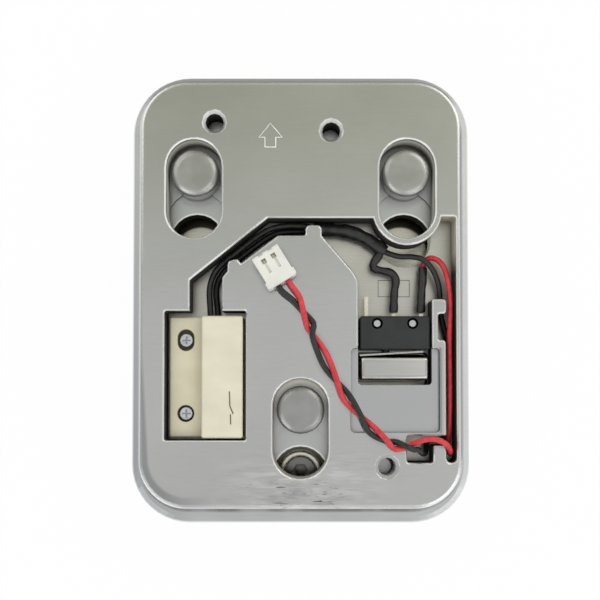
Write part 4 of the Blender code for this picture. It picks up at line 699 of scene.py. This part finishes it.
# Free pair from the connector, in mm: x, y and height over the back face, then twist in degrees.
# At 90 degrees red is on top.
PAIR_ROUTE = (
    (-0.75, -1.1, 2.0, 10),
    (0.5, -3.4, 1.8, 90),
    (1.75, -5.7, 1.6, 180),
    (1.95, -6.6, 1.6, 230),
    (2.15, -7.5, 1.55, 275),
    (3.8, -10.75, 1.2, 355),
    (5.0, -13.3, 1.2, 370),
    (6.65, -16.15, 1.5, 450),
    (8.35, -19.0, 1.5, 540),
    (10.95, -22.4, 1.55, 630),
    (13.0, -24.95, 1.4, 720),
    (15.85, -27.05, 1.55, 810),
    (16.65, -27.5, 1.5, 855),
    (17.45, -27.75, 1.4, 900),
    (19.35, -27.95, 1.5, 990),
    (20.3, -27.9, 1.5, 1040),
    (21.2, -27.75, 1.25, 1085),
)
RED_TAIL = (
    (22.8, -26.6, 1.1),
    (24.7, -26.6, 1.1),
    (26.2, -27.3, 0.7),
    (27.1, -28.2, -0.1),
    (27.45, -29.0, -1.2),
    (27.5, -29.25, -2.3),
    (27.5, -28.95, -3.1),
    (27.5, -28.5, -3.5),
)
BLACK_TAIL = (
    (21.9, -28.95, 0.3),
    (22.6, -29.35, -1.1),
    (23.1, -29.1, -2.7),
    (23.4, -28.2, -4.0),
    (23.6, -27.4, -4.7),
    (23.8, -27.05, -4.8),
)
PAIR_R = 0.65 * MM
WIRE_D = 1.05 * MM
CONNECTOR_AT = Vector((-4.8 * MM, 4.4 * MM, TOP_Z + 2.2 * MM))
CONNECTOR_TURN = math.radians(31.8)
CONNECTOR_L = 6.3 * MM
CONTACT_PITCH = 2.0 * MM


def on_connector(x, y, z=0.0):
    """Point given from the middle of the connector, in mm."""
    turn = Matrix.Rotation(CONNECTOR_TURN, 3, "Z")
    return turn @ Vector((x * MM, y * MM, z * MM)) + CONNECTOR_AT


def pair_points(side):
    """One wire of the twisted pair: side 1 is the red wire, and -1 the black one."""
    points = []
    for index, (x, y, height, twist) in enumerate(PAIR_ROUTE):
        before = Vector(PAIR_ROUTE[max(index - 1, 0)][:2])
        after = Vector(PAIR_ROUTE[min(index + 1, len(PAIR_ROUTE) - 1)][:2])
        along = (after - before).normalized()
        across = Vector((-along.y, along.x, 0.0)) * math.cos(math.radians(twist))
        up = Vector((0.0, 0.0, math.sin(math.radians(twist))))
        middle = Vector((x * MM, y * MM, TOP_Z + height * MM))
        points.append(middle + (across + up) * side * PAIR_R)
    return points


FINE_STEPS = 12


def smooth_route(points, step):
    """Even points along a smooth curve through a route's own points."""
    spans = [(after - before).length for before, after in zip(points, points[1:])]
    slopes = [(points[1] - points[0]) / spans[0]]
    for index in range(1, len(points) - 1):
        slopes.append((points[index + 1] - points[index - 1]) / (spans[index - 1] + spans[index]))
    slopes.append((points[-1] - points[-2]) / spans[-1])
    fine = []
    for index, span in enumerate(spans):
        for part in range(FINE_STEPS):
            t = part / FINE_STEPS
            fine.append(
                points[index] * (2 * t**3 - 3 * t**2 + 1)
                + slopes[index] * span * (t**3 - 2 * t**2 + t)
                + points[index + 1] * (3 * t**2 - 2 * t**3)
                + slopes[index + 1] * span * (t**3 - t**2)
            )
    fine.append(points[-1])
    run = [0.0]
    for before, after in zip(fine, fine[1:]):
        run.append(run[-1] + (after - before).length)
    count = round(run[-1] / step)
    even = []
    here = 0
    for index in range(count + 1):
        target = run[-1] * index / count
        while here < len(fine) - 2 and run[here + 1] < target:
            here += 1
        share = (target - run[here]) / (run[here + 1] - run[here])
        even.append(fine[here].lerp(fine[here + 1], share))
    return even


def tube(name, points, diameter, look, resolution=4, uneven=0.0):
    """Round tube with closed ends along a line of points."""
    curve = bpy.data.curves.new(name, "CURVE")
    curve.dimensions = "3D"
    curve.bevel_depth = diameter / 2
    curve.bevel_resolution = resolution
    curve.use_fill_caps = True
    spline = curve.splines.new("POLY")
    spline.points.add(len(points) - 1)
    for index, (point, place) in enumerate(zip(spline.points, points)):
        point.co = (*place, 1.0)
        point.radius = 1.0 + uneven * math.sin(index * 0.9) * math.sin(index * 0.37 + 1.0)
    curve.materials.append(look)
    obj = bpy.data.objects.new(name, curve)
    SCENE.collection.objects.link(obj)
    return obj


def lay_cord(name, side, tail, look):
    """Free wire from its channel to the connector, in place of its CAD tube."""
    start = [
        on_connector(side * CONTACT_PITCH / 2 / MM, 0.9 - CONNECTOR_L / 2 / MM),
        on_connector(side * CONTACT_PITCH / 2 / MM, -0.9 - CONNECTOR_L / 2 / MM),
    ]
    end = [Vector((x * MM, y * MM, TOP_Z + height * MM)) for x, y, height in tail]
    points = smooth_route(start + pair_points(side) + end, 0.8 * MM)[::-1]
    wire = tube(name + "_cord", points, WIRE_D, look)
    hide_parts(name)
    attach(wire, "base")


lay_cord("red_free_wire", 1, RED_TAIL, RED_WIRE)
lay_cord("black_free_wire", -1, BLACK_TAIL, BLACK_WIRE)


def make_spring(name):
    """Return spring: a coil round its stud, as tall as its CAD piece, in place of it."""
    low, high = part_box(name)
    wire = 0.7 * MM
    radius = 3.75 * MM
    curls = 4
    curl_steps = 20
    count = curls * curl_steps
    corner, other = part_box(name.replace("_return_spring", "_stud"))
    middle = (corner + other) / 2
    points = []
    for step in range(count + 1):
        angle = math.tau * step / curl_steps
        height = low.z + wire / 2 + (high.z - low.z - wire) * step / count
        out = Vector((math.cos(angle), math.sin(angle), 0.0)) * radius
        points.append(Vector((middle.x, middle.y, height)) + out)
    coil = tube(name + "_curve", points, wire, SPRING, 3)
    bpy.context.view_layer.update()
    graph = bpy.context.evaluated_depsgraph_get()
    mesh = bpy.data.meshes.new_from_object(coil.evaluated_get(graph))
    bpy.data.objects.remove(coil, do_unlink=True)
    spring = bpy.data.objects.new(name + "_coil", mesh)
    SCENE.collection.objects.link(spring)
    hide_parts(name)
    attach(spring, "base")
    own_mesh(spring)


for name in ("left_return_spring", "right_return_spring", "lower_return_spring"):
    make_spring(name)

# Wires that the channels hold, in mm from the back plate's right, top and floor.
# Each runs on into the piece that it leaves.
HELD_WIRES = {
    "splice_sleeve": (2.6, "sleeve", (
        (27.2, 26.9, 2.2), (24.5, 26.95, 2.2), (20.6, 27.4, 2.2), (17.7, 28.5, 2.2), (15.7, 29.8, 2.2),
        (13.85, 31.15, 2.2),
    )),
    "closed_terminal_sleeve": (1.55, "sleeve", (
        (12.35, 42.55, 3.2), (12.2, 39.05, 3.0), (11.9, 36.35, 2.6), (12.7, 35.15, 2.4), (14.6, 34.65, 2.3),
        (15.9, 34.25, 2.3), (16.0, 33.3, 2.3), (15.1, 32.0, 2.3), (14.6, 31.1, 2.2),
    )),
    "common_terminal_sleeve": (1.6, "sleeve", (
        (7.27, 42.55, 3.2), (7.15, 39.35, 3.0), (6.85, 36.35, 2.4), (6.73, 34.15, 2.0),
    )),
    "red_channel_wire": (1.05, "red", (
        (6.75, 34.6, 2.0), (6.6, 33.7, 2.05), (6.3, 32.85, 2.2), (5.15, 32.35, 2.8), (3.45, 33.55, 3.6),
        (2.45, 36.35, 4.2), (2.05, 39.85, 4.5), (2.05, 43.35, 4.5), (2.15, 47.35, 4.4), (2.15, 53.3, 4.4),
        (2.15, 59.5, 4.4), (2.15, 63.85, 3.8), (2.15, 65.6, 2.9), (2.15, 66.8, 2.35), (2.15, 67.5, 2.55),
    )),
    "black_channel_wire": (1.05, "black", (
        (15.0, 30.4, 2.3), (13.6, 31.32, 2.6), (11.15, 32.15, 3.2), (9.05, 32.25, 3.6), (7.05, 32.75, 3.9),
        (5.05, 34.75, 3.6), (3.85, 37.75, 2.8), (3.55, 40.35, 2.2), (3.35, 43.35, 2.0), (2.35, 47.35, 2.2),
        (2.05, 49.85, 2.3), (2.05, 54.35, 2.3), (2.05, 59.4, 2.3), (2.15, 63.35, 1.5), (2.25, 64.95, 1.3),
        (2.55, 65.8, 1.2), (3.25, 66.25, 1.2), (4.45, 66.3, 1.3), (5.45, 66.35, 1.5),
    )),
}
SLEEVING = insulation("heat_shrink", srgb(24, 25, 25), srgb(44, 45, 44), 0.38, 900, 0.00022)
WIRE_LOOKS = {"sleeve": SLEEVING, "red": RED_WIRE, "black": BLACK_WIRE}
for name, (diameter, kind, route) in HELD_WIRES.items():
    points = [Vector((BACK_HIGH.x - x * MM, BACK_HIGH.y - y * MM, FLOOR_Z + z * MM)) for x, y, z in route]
    uneven = 0.1 if kind == "sleeve" else 0.0
    wire = tube(name + "_held", smooth_route(points, 0.5 * MM), diameter * MM, WIRE_LOOKS[kind], 4, uneven)
    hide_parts(name)
    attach(wire, "base")

# Leads from the sensor are smoothed round
for name in ("upper_reed_lead", "lower_reed_lead"):
    weld = NODES[name].modifiers.new("weld", "WELD")
    weld.merge_threshold = 0.00001
    smooth = NODES[name].modifiers.new("smooth", "SUBSURF")
    smooth.levels = 2
    smooth.render_levels = 2


def line(name, points, height, width, look, closed=False):
    """Thin engraved or printed line that lies in a face."""
    mark = tube(name, [Vector((x * MM, y * MM, height)) for x, y in points], width, look, 1)
    mark.data.splines[0].use_cyclic_u = closed
    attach(mark, "base")


BRIGHT = bright_metal("fresh_cut_metal", srgb(240, 240, 238), srgb(252, 252, 250), 0.4)
SCRIBED = bright_metal("scribed_metal", srgb(96, 95, 88), srgb(112, 111, 104), 0.4)
INK = moulded("black_ink", srgb(70, 67, 56), srgb(92, 88, 75), 0.5)
ARROW = (
    (-5.56, 31.4), (-3.36, 28.8), (-4.57, 28.8), (-4.57, 27.0), (-6.55, 27.0), (-6.55, 28.8), (-7.65, 28.8),
)
line("up_arrow", ARROW, TOP_Z, 0.28 * MM, BRIGHT, True)
BOX = ((14.7, 3.1), (20.6, 3.1), (20.6, 0.0), (14.7, 0.0))
line("scribed_box", BOX, FLOOR_Z, 0.14 * MM, SCRIBED, True)
SENSOR_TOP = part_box("reed_sensor_housing")[1].z
line("contact_mark_upper", ((-13.0, -17.9), (-12.9, -20.6)), SENSOR_TOP, 0.2 * MM, INK)
line("contact_mark_blade", ((-12.9, -20.6), (-12.3, -22.0)), SENSOR_TOP, 0.2 * MM, INK)
line("contact_mark_lower", ((-12.8, -22.1), (-12.75, -23.9)), SENSOR_TOP, 0.2 * MM, INK)

# Floor and light
floor_mesh = bpy.data.meshes.new("floor")
shape = bmesh.new()
bmesh.ops.create_grid(shape, x_segments=1, y_segments=1, size=1.5)
shape.to_mesh(floor_mesh)
shape.free()
floor = bpy.data.objects.new("floor", floor_mesh)
SCENE.collection.objects.link(floor)
paper = bpy.data.materials.new("white_floor")
paper.use_nodes = True
tree = paper.node_tree
tree.nodes.clear()
output = tree.nodes.new("ShaderNodeOutputMaterial")
share = tree.nodes.new("ShaderNodeMixShader")
matte = tree.nodes.new("ShaderNodeBsdfDiffuse")
matte.inputs["Color"].default_value = (0.9, 0.9, 0.9, 1.0)
glow = tree.nodes.new("ShaderNodeEmission")
rays = tree.nodes.new("ShaderNodeLightPath")
seen = tree.nodes.new("ShaderNodeMath")
seen.operation = "MAXIMUM"
through = tree.nodes.new("ShaderNodeMath")
through.operation = "MAXIMUM"
part = tree.nodes.new("ShaderNodeMath")
part.operation = "MULTIPLY"
part.inputs[1].default_value = 0.96
tree.links.new(rays.outputs["Is Camera Ray"], seen.inputs[0])
tree.links.new(rays.outputs["Is Glossy Ray"], seen.inputs[1])
tree.links.new(seen.outputs[0], through.inputs[0])
tree.links.new(rays.outputs["Is Transmission Ray"], through.inputs[1])
tree.links.new(through.outputs[0], part.inputs[0])
tree.links.new(part.outputs[0], share.inputs["Fac"])
tree.links.new(matte.outputs[0], share.inputs[1])
tree.links.new(glow.outputs[0], share.inputs[2])
tree.links.new(share.outputs[0], output.inputs["Surface"])
floor_mesh.materials.append(paper)

world = bpy.data.worlds.new("studio")
world.use_nodes = True
SCENE.world = world
sky = world.node_tree
background = sky.nodes["Background"]
direction = sky.nodes.new("ShaderNodeTexCoord")
split = sky.nodes.new("ShaderNodeSeparateXYZ")
sky.links.new(direction.outputs["Generated"], split.inputs["Vector"])
SKY_X, SKY_Y, SKY_Z = [split.outputs[name] for name in "XYZ"]


def sky_math(operation, first, second=0.0):
    """One sum in the studio's light."""
    node = sky.nodes.new("ShaderNodeMath")
    node.operation = operation
    for socket, value in zip(node.inputs, (first, second)):
        if isinstance(value, bpy.types.NodeSocket):
            sky.links.new(value, socket)
        else:
            socket.default_value = value
    return node.outputs["Value"]


def sky_fit(value, low, high, to_low, to_high):
    """Range of values mapped to another in the studio's light."""
    node = sky.nodes.new("ShaderNodeMapRange")
    sky.links.new(value, node.inputs["Value"])
    for socket, number in zip(list(node.inputs)[1:5], (low, high, to_low, to_high)):
        socket.default_value = number
    return node.outputs["Result"]


def sky_mix(share, first, second):
    """Value between two values in the studio's light."""
    rest = sky_math("MULTIPLY", sky_math("SUBTRACT", 1.0, share), first)
    return sky_math("ADD", sky_math("MULTIPLY", share, second), rest)


# Light from above fades towards the top and the bottom, and grows to the right at both ends
overhead = sky_math("MULTIPLY", sky_fit(SKY_Y, 0.06, 0.28, 0.71, 0.51), sky_fit(SKY_Y, -0.10, 0.05, 0.92, 1.0))
top_right = sky_math("MULTIPLY", SKY_X, sky_math("MAXIMUM", SKY_Y, 0.0))
overhead = sky_math("MULTIPLY", overhead, sky_math("ADD", 1.0, sky_math("MULTIPLY", top_right, 2.0)))
low_right = sky_math("MULTIPLY", sky_math("MAXIMUM", SKY_X, 0.0), sky_math("MINIMUM", SKY_Y, 0.0))
overhead = sky_math("MULTIPLY", overhead, sky_math("SUBTRACT", 1.0, sky_math("MULTIPLY", low_right, 8.0)))
sides = sky_math("ADD", sky_fit(SKY_X, 0.0, 0.7, 0.60, 0.98), sky_fit(SKY_Y, -0.7, 0.7, 0.08, -0.08))
walls = sky_mix(sky_fit(SKY_Z, 0.80, 0.95, 0.0, 1.0), sides, overhead)
strength = sky_mix(sky_fit(SKY_Z, 0.25, 0.50, 1.0, 0.0), walls, 1.0)
warmth = sky_math("MULTIPLY", sky_fit(SKY_Y, 0.08, 0.30, 0.0, 1.0), sky_fit(SKY_Z, 0.4, 0.8, 0.0, 1.0))
tint = sky.nodes.new("ShaderNodeMix")
tint.data_type = "RGBA"
tint.inputs[6].default_value = (1.0, 1.0, 1.0, 1.0)
tint.inputs[7].default_value = (1.0, 1.02, 0.84, 1.0)
sky.links.new(warmth, tint.inputs["Factor"])
sky.links.new(tint.outputs[2], background.inputs["Color"])
sky.links.new(strength, background.inputs["Strength"])


def area_light(name, place, size, power):
    """Soft lamp that looks at the object's middle."""
    lamp = bpy.data.lights.new(name, "AREA")
    lamp.size = size
    lamp.energy = power
    obj = bpy.data.objects.new(name, lamp)
    obj.location = place
    aim = Vector((0.0, 0.0, TOP_Z)) - Vector(place)
    obj.rotation_euler = aim.to_track_quat("-Z", "Y").to_euler()
    SCENE.collection.objects.link(obj)


for number, (side, end) in enumerate(((-1, 1), (1, 1), (-1, -1), (1, -1)), 1):
    area_light(f"lamp_{number}", (0.26 * side, 0.26 * end, 0.44), 0.28, 0.31)
